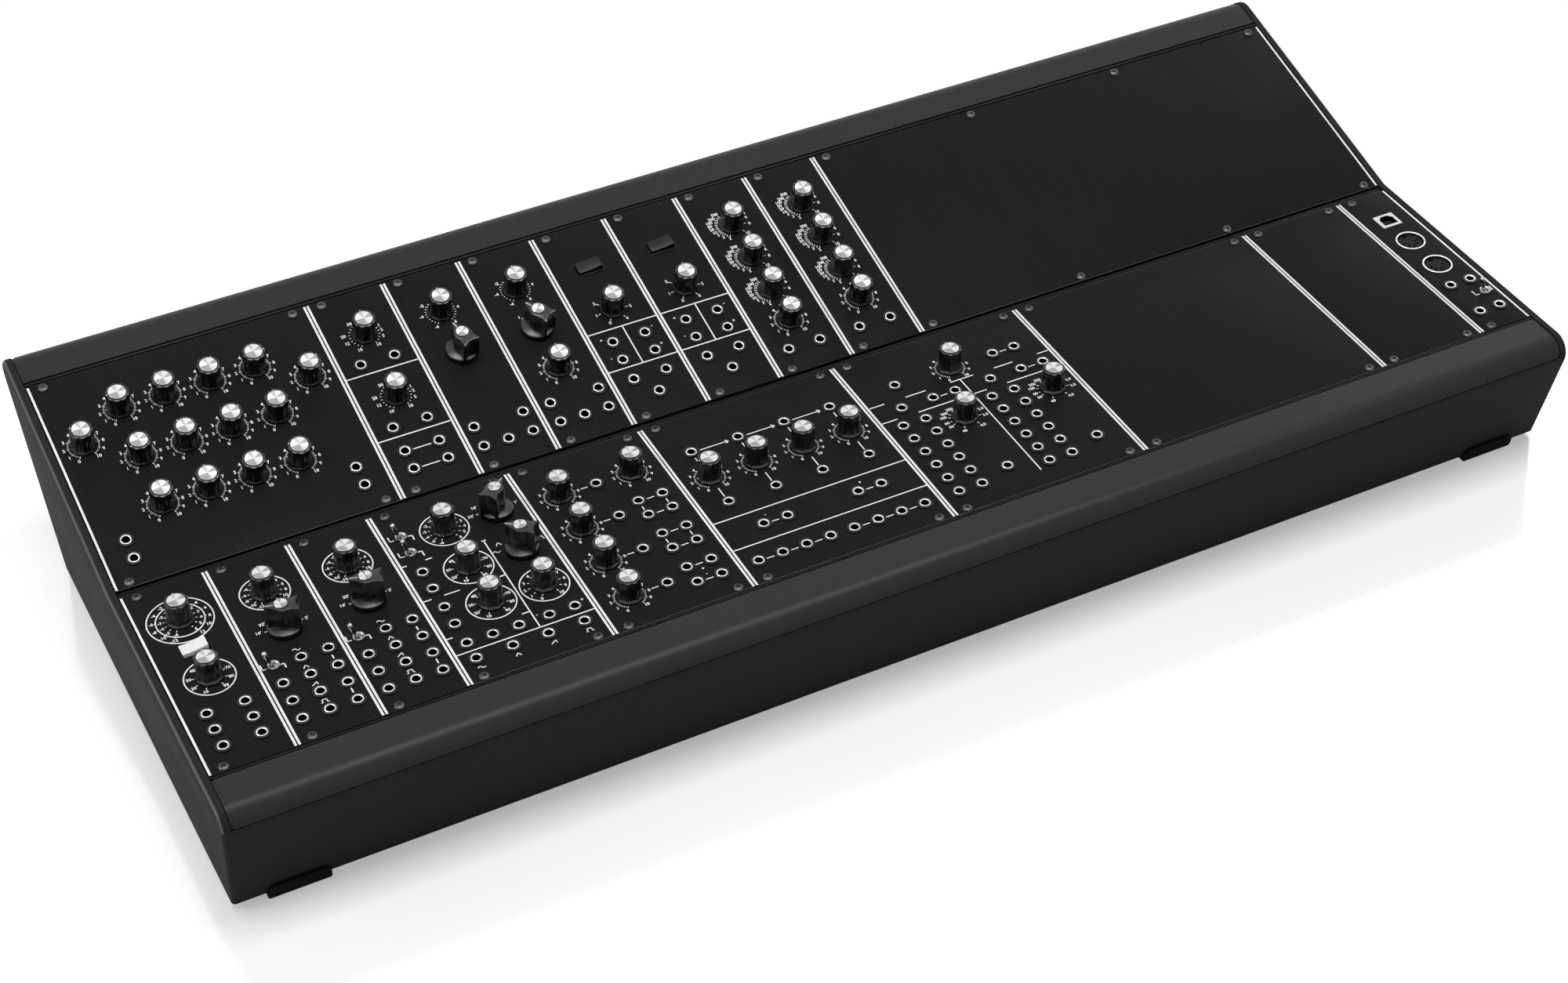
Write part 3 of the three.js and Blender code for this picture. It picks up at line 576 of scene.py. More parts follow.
def spin_map(piece):
    """Turning map of a cap: the way round it, then the distance from its middle"""
    layer = piece.data.uv_layers.new(name="turning")
    for face in piece.data.polygons:
        middle = math.atan2(face.center.y, face.center.x)
        for corner in face.loop_indices:
            point = piece.data.vertices[piece.data.loops[corner].vertex_index].co
            angle = math.atan2(point.y, point.x) if point.xy.length > 1e-6 else middle
            while angle - middle > math.pi:
                angle -= 2 * math.pi
            while middle - angle > math.pi:
                angle += 2 * math.pi
            layer.data[corner].uv = ((angle / (2 * math.pi)) % 1.0, point.xy.length / MM / 4.5)
        along = [layer.data[corner].uv.x for corner in face.loop_indices]
        if max(along) - min(along) > 0.5:
            for corner in face.loop_indices:
                if layer.data[corner].uv.x < 0.5:
                    layer.data[corner].uv.x += 1


def make_cap(name, radius, base, top):
    cap = turned(name, [
        (radius, base), (radius, top - 0.15), (radius - 0.15, top), (radius * 0.7, top - 0.05),
        (radius * 0.35, top - 0.1), (radius * 0.02, top - 0.12)], 48)
    spin_map(cap)
    soften(cap)
    return cap


def make_knob_dots():
    """White dot on the rim and another on the skirt below it"""
    upper = slab("rim_dot", (-0.3, 4.75, 11.6), (0.3, 5.45, 12.44), 0.1)
    lower = slab("skirt_dot", (-0.35, 6.0, 1.2), (0.35, 6.5, 1.75), 0.1)
    return joined("dot_stock", [upper, lower])


def make_pointer_body():
    """Hub that narrows to its pointing arm and flares to a tail with a hollow end"""
    right = [
        (0.8, 7.7), (1.5, 5.5), (2.6, 3.7), (4.2, 1.6), (4.65, -0.4), (4.2, -2.3), (3.9, -4.4), (4.5, -6.5),
        (5.0, -7.5), (4.2, -8.0), (2.0, -6.9)]
    corners = right + [(0, -6.6)] + [(-x, y) for x, y in reversed(right)]
    corners = [
        tuple(a * (1 - share) + b * share for a, b in zip(corner, following))
        for corner, following in zip(corners, corners[1:] + corners[:1])
        for share in (0.25, 0.75)
    ]
    hub = drawn("pointer_hub", [(x, y, 2.6) for x, y in corners], (0, 0, 12.8))
    with shaping(hub):
        choose("EDGE", lambda a, b: min(a.z, b.z) > 15.3)
        round_edges(0.35, 2)
    soften(hub, 24)
    skirt = round_stock("pointer_skirt", [
        (7.9, 0.4), (8.15, 0.6), (8.2, 2.7), (8.05, 3.0), (7.6, 3.2), (5.8, 3.7), (4.0, 4.1)], 64, angle=40)
    return joined("pointer_stock", [hub, skirt])


def make_screw():
    screw = turned("screw_stock", [
        (2.5, -0.1), (2.55, 0.25), (2.4, 0.55), (2.0, 0.85), (1.35, 1.02), (0.5, 1.08)], 24)
    for x, y in ((1.25, 0.3), (0.3, 1.25)):
        cut(screw, slab("screw_slot", (-x, -y, 0.45), (x, y, 3)))
    soften(screw)
    return screw


# Half the throw of a lever and of a key, and how deep their pivots lie
TOGGLE_LEAN = math.radians(17)
ROCKER_LEAN = math.radians(8)
PIVOT = -1.5


def make_toggle_lever():
    lever = round_stock("toggle_lever", [
        (0.35, -2.0), (0.7, -1.9), (0.78, -1.0), (1.2, -0.4), (1.25, 0.2), (0.95, 0.9), (0.75, 1.5),
        (0.8, 4.0), (1.05, 8.0), (1.28, 10.9), (1.22, 11.6), (0.95, 12.1), (0.45, 12.32), (0.05, 12.35)],
        angle=40)
    lever.data.transform(spot(0, 0, z=PIVOT) @ Matrix.Rotation(-TOGGLE_LEAN, 4, "Y"))
    return lever


def make_rocker():
    """Dished key, its right end up"""
    dish = [(-6.3 + 1.05 * step, 2.75 + 0.45 * ((step - 6) / 6) ** 2) for step in range(13)]
    under = [(5.5, -1.5), (2.8, -3.6), (0, -4.9), (-2.8, -3.6), (-5.5, -1.5)]
    key = drawn("rocker_stock", [(x, -3.4, z) for x, z in dish + under], (0, 6.8, 0))
    with shaping(key):
        choose("EDGE", lambda a, b: min(a.z, b.z) > 1.9 and (
            abs(abs(a.y) - 3.4) < 0.01 and abs(a.y - b.y) < 0.01
            or min(abs(a.x), abs(b.x)) > 6.2))
        round_edges(0.3, 2)
    soften(key, 35)
    key.data.transform(spot(0, 0, z=PIVOT) @ Matrix.Rotation(-ROCKER_LEAN, 4, "Y") @ spot(0, 0, z=-PIVOT))
    return key


def make_rocker_bezel():
    bezel = slab("rocker_bezel", (-7.4, -4, -7.8), (7.4, 4, 0.6))
    with shaping(bezel):
        choose("FACE", lambda p, n: n.z > 0.9)
        bpy.ops.mesh.inset(thickness=0.45 * MM)
        pull(z=-7.6)
    with shaping(bezel):
        choose("EDGE", lambda a, b: min(a.z, b.z) > 0.59)
        round_edges(0.12)
    soften(bezel)
    return bezel


def make_print_ring(radius):
    inner, outer = radius - RING_WIDTH / 2, radius + RING_WIDTH / 2
    ring = turned("ring_stock", [(outer, -INK_DEPTH), (outer, INK_DEPTH)], 72)
    cut(ring, turned("ring_hole", [(inner, -1), (inner, 1)], 72))
    return ring


# Half the thickness of the print, and the width of a printed ring
INK_DEPTH = 0.03
RING_WIDTH = 0.65
KNOB = make_knob()
KNOB_CAP = make_cap("cap_stock", 4.3, 12.0, 12.95)
KNOB_DOT = make_knob_dots()
POINTER = make_pointer_body()
POINTER_CAP = make_cap("pointer_cap_stock", 3.1, 15.0, 16.3)
POINTER_LINE = slab("pointer_line_stock", (-0.22, 3.6, 15.0), (0.22, 7.3, 15.44), 0.04)
SOCKET_NUT = round_stock("socket_nut", [
    (4.0, -0.3), (4.0, 0.55), (3.75, 0.88), (3.45, 0.9), (3.2, 0.7), (2.8, 0.7)], hole=2.84)
SOCKET_RING = round_stock("socket_ring", [
    (2.85, -1.5), (2.85, 0.85), (2.65, 1.08), (2.3, 1.1), (1.9, 0.78)], hole=1.95)
SOCKET_BORE = round_stock("socket_bore", [
    (2.2, -7.5), (2.2, -1.6), (1.93, -1.6), (1.93, 0.72), (1.8, 0.76), (1.72, -7.0)])
SCREW = make_screw()
TOGGLE_NUT = round_stock("toggle_nut", [
    (2.95, -0.3), (2.95, 1.3), (2.75, 1.65), (2.35, 1.68), (1.9, 1.35), (1.65, 1.0), (1.55, -1.2)], 32)
TOGGLE_LEVER = make_toggle_lever()
ROCKER = make_rocker()
ROCKER_BEZEL = make_rocker_bezel()
# Printed line one millimetre long, stretched to length as it is placed
STROKE = slab("stroke_stock", (0, -0.5, -INK_DEPTH), (1, 0.5, INK_DEPTH))
RINGS = {radius: make_print_ring(radius) for radius in (11.25, 11.7, 15.4)}
SOCKET_HOLE = turned("socket_hole", [(3.0, -9), (3.0, 3)], 20)
SHAFT_HOLE = turned("shaft_hole", [(3.5, -9), (3.5, 3)], 20)
SHAFT = turned("shaft_stock", [(2.9, -7.0), (3.0, -6.8), (3.0, 2.0), (2.7, 2.2)], 24)


# Printed numbers, one of each made and copied

NUMBERS = {}


def number_stock(text):
    if text not in NUMBERS:
        deselect()
        bpy.ops.object.text_add()
        label = bpy.context.object.data
        label.body = text
        label.size = 2.55 * MM
        label.extrude = INK_DEPTH * MM
        label.offset = 0.08 * MM
        label.resolution_u = 2
        label.align_x = "CENTER"
        label.align_y = "CENTER"
        bpy.ops.object.convert(target="MESH")
        NUMBERS[text] = named("number_" + str(len(NUMBERS)))
    return NUMBERS[text]


# Widths of printed lines, and how far the middle of a number lies below its place
FINE, LINK, RULE, STRIPE = 0.5, 0.6, 0.7, 1.15
NUMBER_DROP = 0.3
WAVES = {
    "sine": [(math.sin(t * math.pi / 6) * 0.7, t * 0.3 - 1.8) for t in range(13)],
    "triangle": [(-0.9, -1.3), (1.0, 0), (-0.9, 1.3)],
    "saw": [(-0.9, -1.7), (1.0, 1), (-0.9, 1)],
    "square": [(-0.9, -2.1), (-0.9, -1.3), (1.0, -1.3), (1.0, 0.9), (-0.9, 0.9), (-0.9, 1.7)],
}


class Print:
    """White print of one module"""

    def __init__(self):
        self.marks = []

    def numbers(self, x, y, *labels):
        """Numbers and signs, each with its way from a point"""
        for text, along, up in labels:
            self.marks.append(copied(number_stock(str(text)), spot(x + along, y + up - NUMBER_DROP)))

    def line(self, *points, width=RULE):
        for start, end in zip(points, points[1:]):
            run = Vector(end) - Vector(start)
            turn = math.degrees(math.atan2(run.y, run.x))
            size = Matrix.Diagonal((run.length, width, 1, 1))
            self.marks.append(copied(STROKE, spot(*start, turn=turn) @ size))

    def level(self, y, *runs, width=RULE):
        for start, end in runs:
            self.line((start, y), (end, y), width=width)

    def upright(self, x, *runs, width=RULE):
        for start, end in runs:
            self.line((x, start), (x, end), width=width)

    def ticks(self, x, y, angles, inner, outer, width=0.45):
        for angle in angles:
            sine, cosine = math.sin(math.radians(angle)), math.cos(math.radians(angle))
            self.line(
                (x + inner * sine, y + inner * cosine), (x + outer * sine, y + outer * cosine), width=width)

    def scale(self, x, y, labels, radius, inner, outer, width=0.45, ring=None, drop=0.0):
        """Numbers with a tick for each, spread evenly over 300 degrees"""
        angles = spread(-150, 300 / (len(labels) - 1), len(labels))
        self.ticks(x, y, angles, inner, outer, width)
        for label, angle in zip(labels, map(math.radians, angles)):
            self.numbers(x, y - drop, (label, radius * math.sin(angle), radius * math.cos(angle)))
        if ring:
            self.marks.append(copied(RINGS[ring], spot(x, y)))

    def waves(self, *places):
        for kind, x, y in places:
            self.line(*[(x + along, y + up) for up, along in WAVES[kind]], width=FINE)

    def ten_dials(self, *places):
        for x, y in places:
            self.marks.append(copied(TEN_DIAL, spot(x, y)))


def spread(start, step, count):
    return [start + step * index for index in range(count)]


def make_ten_dial():
    dial = Print()
    dial.ticks(0, 0, spread(-150, 7.5, 41), 7.0, 7.8, 0.32)
    dial.scale(0, 0, range(11), 9.65, 6.9, 8.2, 0.46)
    return joined("ten_dial_stock", dial.marks)


TEN_DIAL = make_ten_dial()


def print_filter_bank(p):
    p.ten_dials(*places_of(MODULES["filter_bank"], "knobs"))


def print_dual_filter(p):
    for y in (100.96, 59.64):
        p.ticks(MIDDLE, y, spread(-150, 15, 21), 7.0, 7.9, 0.4)
        p.numbers(
            MIDDLE, y, (10, -5.6, -8.1), (12, -10, -2.4), (20, -10.2, 2.5), (50, -4.5, 9),
            (1, 8.8, 3.2), (2, 9.1, 0.2), (5, 8.5, -3.7), (10, 4.3, -8.1))
    for y in (77, 35.8):
        p.level(y, (1.4, 38.9))
    for y in (26.3, 15.0):
        p.level(y, (15.6, 25.0), width=LINK)


def print_high_pass(p):
    p.ticks(MIDDLE, 100.96, spread(-150, 13, 24), 7.0, 7.9, 0.4)
    p.numbers(
        0, 0, (-2, 12.9, 107.8), (-4, 10.2, 101.2), (-6, 15, 92.8), (4, 29.7, 101.2), (6, 25, 92.8))


def print_low_pass(p):
    print_high_pass(p)
    p.numbers(0, 0, (1, 14.8, 83.5))
    p.line((15.9, 82.2), (17.1, 80.6), width=FINE)
    p.ten_dials((MIDDLE, 46.9))


def print_amplifier(p):
    p.ticks(MIDDLE, 71.77, (-150, -100, -50, 50, 100, 150), 6.9, 8.4, 0.42)
    p.numbers(
        0, 0, (0, 15.5, 63.7), (1, 11, 70.4), (2, 13, 78.1), (5, 29.8, 70.4), (6, 25, 63.7),
        ("+", 6.5, 54.8), ("-", 6.5, 42.5), ("-", 34.3, 54.8), ("+", 34.2, 42.6))
    for y in (59.7, 34.3):
        p.level(y, (1.4, 39.2))
    p.upright(MIDDLE, (59.7, 34.3))


def print_envelope(p):
    slow = (-151, -140, -130, -121, -113, -106, -99, -91, -84, -74, -65, -57, -49, -38, -28)
    for y in (100.86, 77.29, 53.82):
        p.ticks(MIDDLE, y, slow, 7.0, 8.7, 0.4)
        p.ticks(MIDDLE, y, (62, 76, 103, 143), 7.0, 8.0, 0.4)
        p.numbers(
            MIDDLE, y, (2, -4.5, -8.1), (3, -7.4, -6.3), (5, -9.2, -4), (10, -10.4, -1.9),
            (20, -10.9, 0.5), (50, -11.0, 2.8), (100, -10.5, 5.0), (200, -8.2, 7.1), (500, -5.3, 9.4),
            (4, 9.7, 5.2), (6, 9.6, 2.3), (8, 9.5, -2.2), (10, 5.9, -7.8))
    p.ten_dials((MIDDLE, 32.66))


def print_driver(p):
    p.scale(MIDDLE, 101.3, range(-6, 7), 9.5, 6.9, 7.9, ring=11.25, drop=0.1)
    p.scale(MIDDLE, 101.3, range(-12, 13, 2), 13.4, 10.7, 12.0, ring=15.4, drop=0.1)
    p.scale(MIDDLE, 59.44, range(10, 100, 10), 9.5, 7.0, 8.0, ring=11.7)


def print_oscillator(p):
    p.scale(MIDDLE, 101.3, range(-12, 13, 2), 9.6, 6.9, 7.9, ring=11.7, drop=0.1)
    p.numbers(0, 0, ("32'", 11.8, 81.5), ("16'", 8.4, 76.6), ("2'", 31.6, 76.5))
    p.line((11.2, 75.9), (12.6, 75.6), width=FINE)
    p.line((28.7, 76.0), (30, 76.4), width=FINE)
    p.line((1.9, 56), (1.9, 52.4), (3.9, 52.4))
    p.line((10.5, 52.4), (12.2, 52.4), (12.2, 49.4))
    p.waves(("sine", 20.1, 58.4), ("triangle", 20.1, 45.8), ("saw", 20.1, 33.4), ("square", 20.2, 21.1))
    p.upright(33.2, (47.6, 45.0), (23.4, 20.2))


def print_main_oscillator(p):
    p.scale(29.37, 104.27, range(-6, 7), 9.6, 6.9, 7.9, ring=11.7)
    for y in (74.18, 46.9):
        p.scale(29.37, y, range(10, 100, 10), 9.5, 7.0, 8.0, ring=11.7)
    p.scale(55.97, 46.9, range(11), 9.8, 7.0, 8.1, ring=11.7)
    p.numbers(
        0, 0, ("16'", 47.5, 112.3), ("32'", 43.9, 107), ("1'", 67, 107.2),
        ("-", 44.4, 29.5), ("+", 67.1, 29.5))
    p.line((46.6, 107), (47.8, 106.7), width=FINE)
    p.line((3.2, 110.9), (3.2, 107.5), (5.3, 107.5))
    p.line((12.2, 107.5), (14.1, 107.5), (14.1, 104))
    p.line((3.4, 98.2), (3.4, 94.8), (5.5, 94.8))
    p.line((12.2, 94.8), (14.1, 94.8), (14.1, 91.2))
    p.waves(("sine", 45, 77.7), ("triangle", 47.8, 82.6), ("square", 67.5, 77.7))
    p.waves(("sine", 8.9, 8.9), ("triangle", 26.7, 8.9), ("saw", 44.4, 8.9), ("square", 62.1, 8.9))
    p.level(88.1, (1.4, 3.9), (13.3, 16.6), (41.5, 43.8))
    p.level(61.2, (1.4, 5.6), (11.9, 19.6), (39.6, 42.6))
    p.level(32.8, (1.4, 4.4), (38.6, 42.6))
    p.level(20.8, (1.4, 69.7))
    p.upright(42.6, (88.1, 20.8))


def print_mixer(p):
    p.ten_dials(*places_of(MODULES["mixer_module"], "knobs"), (54.48, 101.16))
    for y in MIXER_ROWS:
        p.level(y, (27.4, 31.1), width=LINK)
    for y in MIXER_PAIR_ROWS:
        p.level(y, (52.7, 56.5), width=LINK)
    for x in MIXER_PAIR:
        p.upright(x, (76.3, 73.0), (49.5, 46.2), width=LINK)
    p.numbers(0, 0, ("+", 54.7, 22.8), ("-", 54.7, 19))


def print_attenuators(p):
    p.ten_dials(*places_of(MODULES["attenuator_module"], "knobs"))
    for start, end in ((19.9, 35.6), (45.3, 60.9), (70.7, 86.3)):
        p.level(101.16, (start, end), width=LINK)
        p.line((end - 1.8, 102.4), (end, 101.16), (end - 1.8, 99.9), width=0.55)
    for x in ATTENUATOR_COLUMNS:
        p.upright(x, (96.8, 93.2), (71.2, 64.2), width=LINK)
    for y in (48.2, 26.7):
        p.level(y, (1.4, 105.2))
    p.level(37.47, (27.2, 31.1), (78.0, 81.8), width=LINK)
    for x in MULTIPLE_COLUMNS[:3] + MULTIPLE_COLUMNS[4:7]:
        p.level(15, (x + 4.4, x + 8.3), width=LINK)
    p.numbers(0, 0, ("-", 26.5, 43.7), ("+", 77.7, 43.7))


def print_interface(p):
    p.ten_dials((53.34, 101.16))
    p.level(101.16, (82.6, 86.4), width=LINK)
    p.level(83.61, (38.3, 42.1), (89.1, 93.1), width=LINK)
    p.level(90.8, (1.8, 10.2), (22.3, 33.7), (47.7, 61), (73, 84), (98.5, 105))
    p.level(77.4, (1.8, 10.4), (22.3, 61.2), (73, 105))
    p.upright(53.4, (90.8, 11))
    for x in (40.54, 91.21):
        p.ticks(x, 63.25, (-150, -109, -90, -66, -48, -23, 76, 103, 150), 7.0, 8.3, 0.42)
        p.numbers(
            x, 63.25, (40, -5.1, -8.9), (50, -9.6, -3.3), (60, -10.2, 0.1), (100, -9.9, 4.5),
            (200, -7.9, 7.2), (250, -3.9, 9.1), ("4.0", 5.2, -8.9), ("3.0", 10.2, -2.4), ("2.0", 10.3, 2.6))


def print_converter(p):
    p.line((16.7, 31.5), (16.7, 27.7), (19, 27.7))
    p.line((25.4, 27.9), (27.4, 27.9), (27.4, 31.2))


PRINTS = {
    "filter_bank": print_filter_bank, "dual_filter": print_dual_filter,
    "high_pass_filter": print_high_pass, "low_pass_filter": print_low_pass,
    "amplifier_left": print_amplifier, "amplifier_right": print_amplifier,
    "envelope_left": print_envelope, "envelope_right": print_envelope,
    "driver_module": print_driver, "oscillator_left": print_oscillator,
    "oscillator_right": print_oscillator, "main_oscillator": print_main_oscillator,
    "mixer_module": print_mixer, "attenuator_module": print_attenuators,
    "interface_module": print_interface, "converter_module": print_converter,
}


def print_module(name, spec):
    width = spec["units"] * HP
    p = Print()
    left = 0.65 if name in ("filter_bank", "driver_module") else 0.9
    for x in (left, width - 0.9):
        p.upright(x, (0.5, PANEL_HEIGHT - 0.5), width=STRIPE)
    if name in PRINTS:
        PRINTS[name](p)
    return joined(name + "_print", p.marks)


# Modules

SCREW_INSET = 7.5
SCREW_ROWS = (2.9, 125.6)


def screw_columns(spec):
    if "screws" in spec:
        return spec["screws"]
    if spec["units"] <= 8:
        return [SCREW_INSET]
    return [SCREW_INSET, SCREW_INSET + (spec["units"] - 3) * HP]


def window(name, x, y, half_width, half_height):
    return slab(name, (x - half_width, y - half_height, -9), (x + half_width, y + half_height, 3))


def build_panel(name, spec):
    width = spec["units"] * HP
    edge = PANEL_JOINT / 2
    panel = slab(name + "_panel", (edge, 0, -PANEL_THICKNESS), (width - edge, PANEL_HEIGHT, 0), 0.3, 2)
    tools = [copied(SOCKET_HOLE, spot(*place)) for place in places_of(spec, "sockets")]
    for kind, size in (("shafts", 1), ("toggles", 0.8), ("dins", 2.25)):
        widened = Matrix.Diagonal((size, size, 1, 1))
        tools += [copied(SHAFT_HOLE, spot(*place) @ widened) for place in places_of(spec, kind)]
    tools += [window("rocker_window", x, y, 7.2, 3.8) for x, y in places_of(spec, "rockers")]
    if "usb" in spec:
        tools.append(window("data_window", *spec["usb"], 5.4, 5))
    if tools:
        cut(panel, joined("panel_tool", tools))
    soften(panel)
    return panel


def build_board(name, spec):
    """Circuit board behind a panel with its socket and pot bodies"""
    width = spec["units"] * HP
    parts = [slab("board_stock", (1.3, 6, -13.6), (width - 1.3, 122.5, -12), 0.1)]
    body = slab("socket_body", (-4.4, -4.4, -12), (4.4, 4.4, -8.2), 0.4)
    for kind in ("sockets", "shafts", "toggles", "knobs"):
        parts += [copied(body, spot(*place)) for place in places_of(spec, kind)]
    bpy.data.objects.remove(body)
    board = joined(name + "_board", parts)
    soften(board)
    return board


def build_module(name):
    spec = MODULES[name]

    def put(piece, slot, finish, *nodes):
        piece.data.transform(PLACES[name])
        return complete(piece, "case", slot, finish, *nodes)

    def add(part, slot, finish, *groups):
        """Copies of stock pieces, each at its places, joined to one piece"""
        made = [copied(stock, spot(*place)) for stock, places in groups for place in places]
        if made:
            put(joined(f"{name}_{part}", made), slot, finish)

    finish = UPPER_PANEL if name in UPPER_ROW else LOWER_PANEL
    panel = put(build_panel(name, spec), "panel_black", finish, name)
    # Painted highlight: the rounded front edge of a panel, where it faces forward, takes a lighter finish
    panel.data.materials.append(PANEL_EDGE_HIGHLIGHT)
    for face in panel.data.polygons:
        if face.normal.y < -0.3 and 0.2 < face.normal.z < 0.98 and face.area > 10 * MM * MM:
            face.material_index = 1
    put(print_module(name, spec), "print_white", INK)

    screws = [(x, y) for x in screw_columns(spec) for y in SCREW_ROWS]
    sockets, knobs, middles = spec.get("sockets", []), spec.get("knobs", []), places_of(spec, "knobs")
    add("screws", "screw_black", SCREW_BLACK, (SCREW, with_turns(screws, *range(20, 300, 37))))
    add("socket_nuts", "socket_black", SOCKET_BLACK,
        (SOCKET_NUT, sockets), (ROCKER_BEZEL, places_of(spec, "rockers")))
    add("socket_bores", "socket_black", BORE_BLACK, (SOCKET_BORE, sockets))
    add("socket_rings", "socket_nickel", NICKEL, (SOCKET_RING, sockets))
    add("toggle_nuts", "toggle_chrome", CHROME, (TOGGLE_NUT, places_of(spec, "toggles")))
    add("knobs", "knob_black", KNOB_BLACK, (KNOB, knobs), (SHAFT, middles))
    add("knob_caps", "knob_cap", CAP_METAL, (KNOB_CAP, middles))
    add("knob_dots", "print_white", INK, (KNOB_DOT, knobs))
    if sockets:
        put(build_board(name, spec), "board_green", BOARD)
    if "usb" in spec:
        build_data_sockets(spec, put)


def build_data_sockets(spec, put):
    """White plate with a mouth cut off at two corners, and two round sockets"""
    x, y = spec["usb"]

    def mouth(name, share, low, depth):
        corners = [(-4.2, -3.85), (4.2, -3.85), (4.2, 1.65), (2.0, 3.85), (-2.0, 3.85), (-4.2, 1.65)]
        return drawn(name, [(x + dx * share, y + dy * share, low) for dx, dy in corners], (0, 0, depth))

    plate = slab("data_plate", (x - 6, y - 5.4, -0.4), (x + 6, y + 5.4, 0.6), 0.15)
    cut(plate, mouth("data_mouth", 1, -3, 6))
    soften(plate)
    shell = mouth("data_shell", 0.995, -9, 9.4)
    cut(shell, mouth("data_hollow", 0.93, -8.5, 12))
    tongue = slab("data_tongue", (x - 2.6, y - 1.7, -8.6), (x + 2.6, y + 1.3, -1.0), 0.2)
    put(joined("data_socket_plate", [plate]), "data_socket_white", DATA_WHITE)
    put(joined("data_socket_shell", [shell]), "socket_black", BORE_BLACK)
    put(joined("data_socket_tongue", [tongue]), "socket_black", SOCKET_FACE)

    ring = round_stock("din_ring", [
        (8.0, -1), (8.0, 0.4), (7.8, 0.6), (7.3, 0.6), (7.1, 0.4), (6.9, 0.38)], 48, 7.0)
    face = turned("din_face", [(6.45, -9), (6.45, -0.75), (6.3, -0.6), (4.0, -0.6)], 48)
    slots = []
    for angle in (180, 225, 270, 315, 0):
        pin = slab("din_slot", (2.5, -0.45, -5), (4.9, 0.45, 3))
        pin.data.transform(spot(0, 0, angle))
        slots.append(pin)
    slots.append(slab("din_key", (-1.2, 4.5, -5), (1.2, 6.0, 3)))
    cut(face, joined("din_tool", slots))
    soften(face)
    for name, stock, slot, finish in (
            ("din_socket_rings", ring, "socket_nickel", NICKEL),
            ("din_socket_faces", face, "socket_black", SOCKET_FACE)):
        put(joined(name, [copied(stock, spot(*din)) for din in spec["dins"]]), slot, finish)
        bpy.data.objects.remove(stock)


for module in MODULES:
    build_module(module)


# Knobs, levers and keys that move, each on its own body. The first piece of a kind
# takes the place of the body's node, and each piece has its name, slot, finish and stock.

MOVERS = {
    "round_knob": [
        ("moulding", "knob_black", KNOB_BLACK, KNOB, SHAFT),
        ("cap", "knob_cap", CAP_METAL, KNOB_CAP),
        ("dot", "print_white", INK, KNOB_DOT)],
    "pointer_knob": [
        ("moulding", "knob_black", KNOB_BLACK, POINTER, SHAFT),
        ("cap", "knob_cap", CAP_METAL, POINTER_CAP),
        ("line", "knob_cap", NICKEL, POINTER_LINE)],
    "toggles": [("bat", "toggle_chrome", CHROME, TOGGLE_LEVER)],
    "rockers": [("key", "rocker_black", ROCKER_BLACK, ROCKER)],
    "driver_rocker": [("key", "rocker_white", ROCKER_WHITE, ROCKER)],
}


def build_mover(body, kind, place):
    nodes = [body]
    for part, slot, finish, *stocks in MOVERS[kind]:
        piece = joined(f"{body}_{part}", [copied(stock, place) for stock in stocks])
        complete(piece, body, slot, finish, *nodes)
        nodes = []


for module, spec in MODULES.items():
    for body, where in spec.get("shafts", {}).items():
        kind = "pointer_knob" if len(where) == 3 else "round_knob"
        build_mover(body, kind, PLACES[module] @ spot(*where))
    for kind in ("toggles", "rockers"):
        for body, where in spec.get(kind, {}).items():
            build_mover(body, body if body in MOVERS else kind, PLACES[module] @ spot(*where))


# Case: tub, covers, rails, feet and the power board, with side views as (y, z)

FRONT_CENTRE = Vector((-16.6, -10))
REAR_CENTRE = Vector((275.30, 26.99))
FRONT_LEAN = math.radians(12.2)
REAR_LEAN = math.radians(26.3)
TIER_UP = Vector((-math.sin(TIER_ANGLE), math.cos(TIER_ANGLE)))
TIER_ALONG = Vector((math.cos(TIER_ANGLE), math.sin(TIER_ANGLE)))
BASE = -68.0
CHEEK_INNER = 356.2
CHEEK_OUTER = 360.6
CASE_CORNER = 2.1
# Radii of the two bends, and where each bend begins and ends, in degrees
BEND_OUTSIDE, COVER_OUTSIDE, BEND_INSIDE, COVER_INSIDE = 9.97, 9.7, 8, 7.7
FRONT_BEND = (90, 192.2)
REAR_BEND = (-26.3, 104.75)
# Where the tub ends below each cover, and where the cover itself ends
FRONT_MOUTH, REAR_MOUTH = 177, 17.75
FRONT_SEAM, REAR_SEAM = 173.6, 21.15


def polar(centre, radius, degrees):
    angle = math.radians(degrees)
    return (centre.x + radius * math.cos(angle), centre.y + radius * math.sin(angle))


def arc(centre, radius, start, end, steps=14):
    return [polar(centre, radius, start + (end - start) * step / steps) for step in range(steps + 1)]


def tier_points(*places):
    """Points given along the upper tier and up from it"""
    points = [Vector((UPPER_START, 0)) + TIER_ALONG * along + TIER_UP * up for along, up in places]
    return [tuple(point) for point in points]


def front_wall(z, depth=0.0):
    return -26.374 + (-12.113 - z) * math.tan(FRONT_LEAN) + depth / math.cos(FRONT_LEAN)


def rear_wall(z, depth=0.0):
    return 284.265 - (22.56 - z) * math.tan(REAR_LEAN) - depth / math.cos(REAR_LEAN)


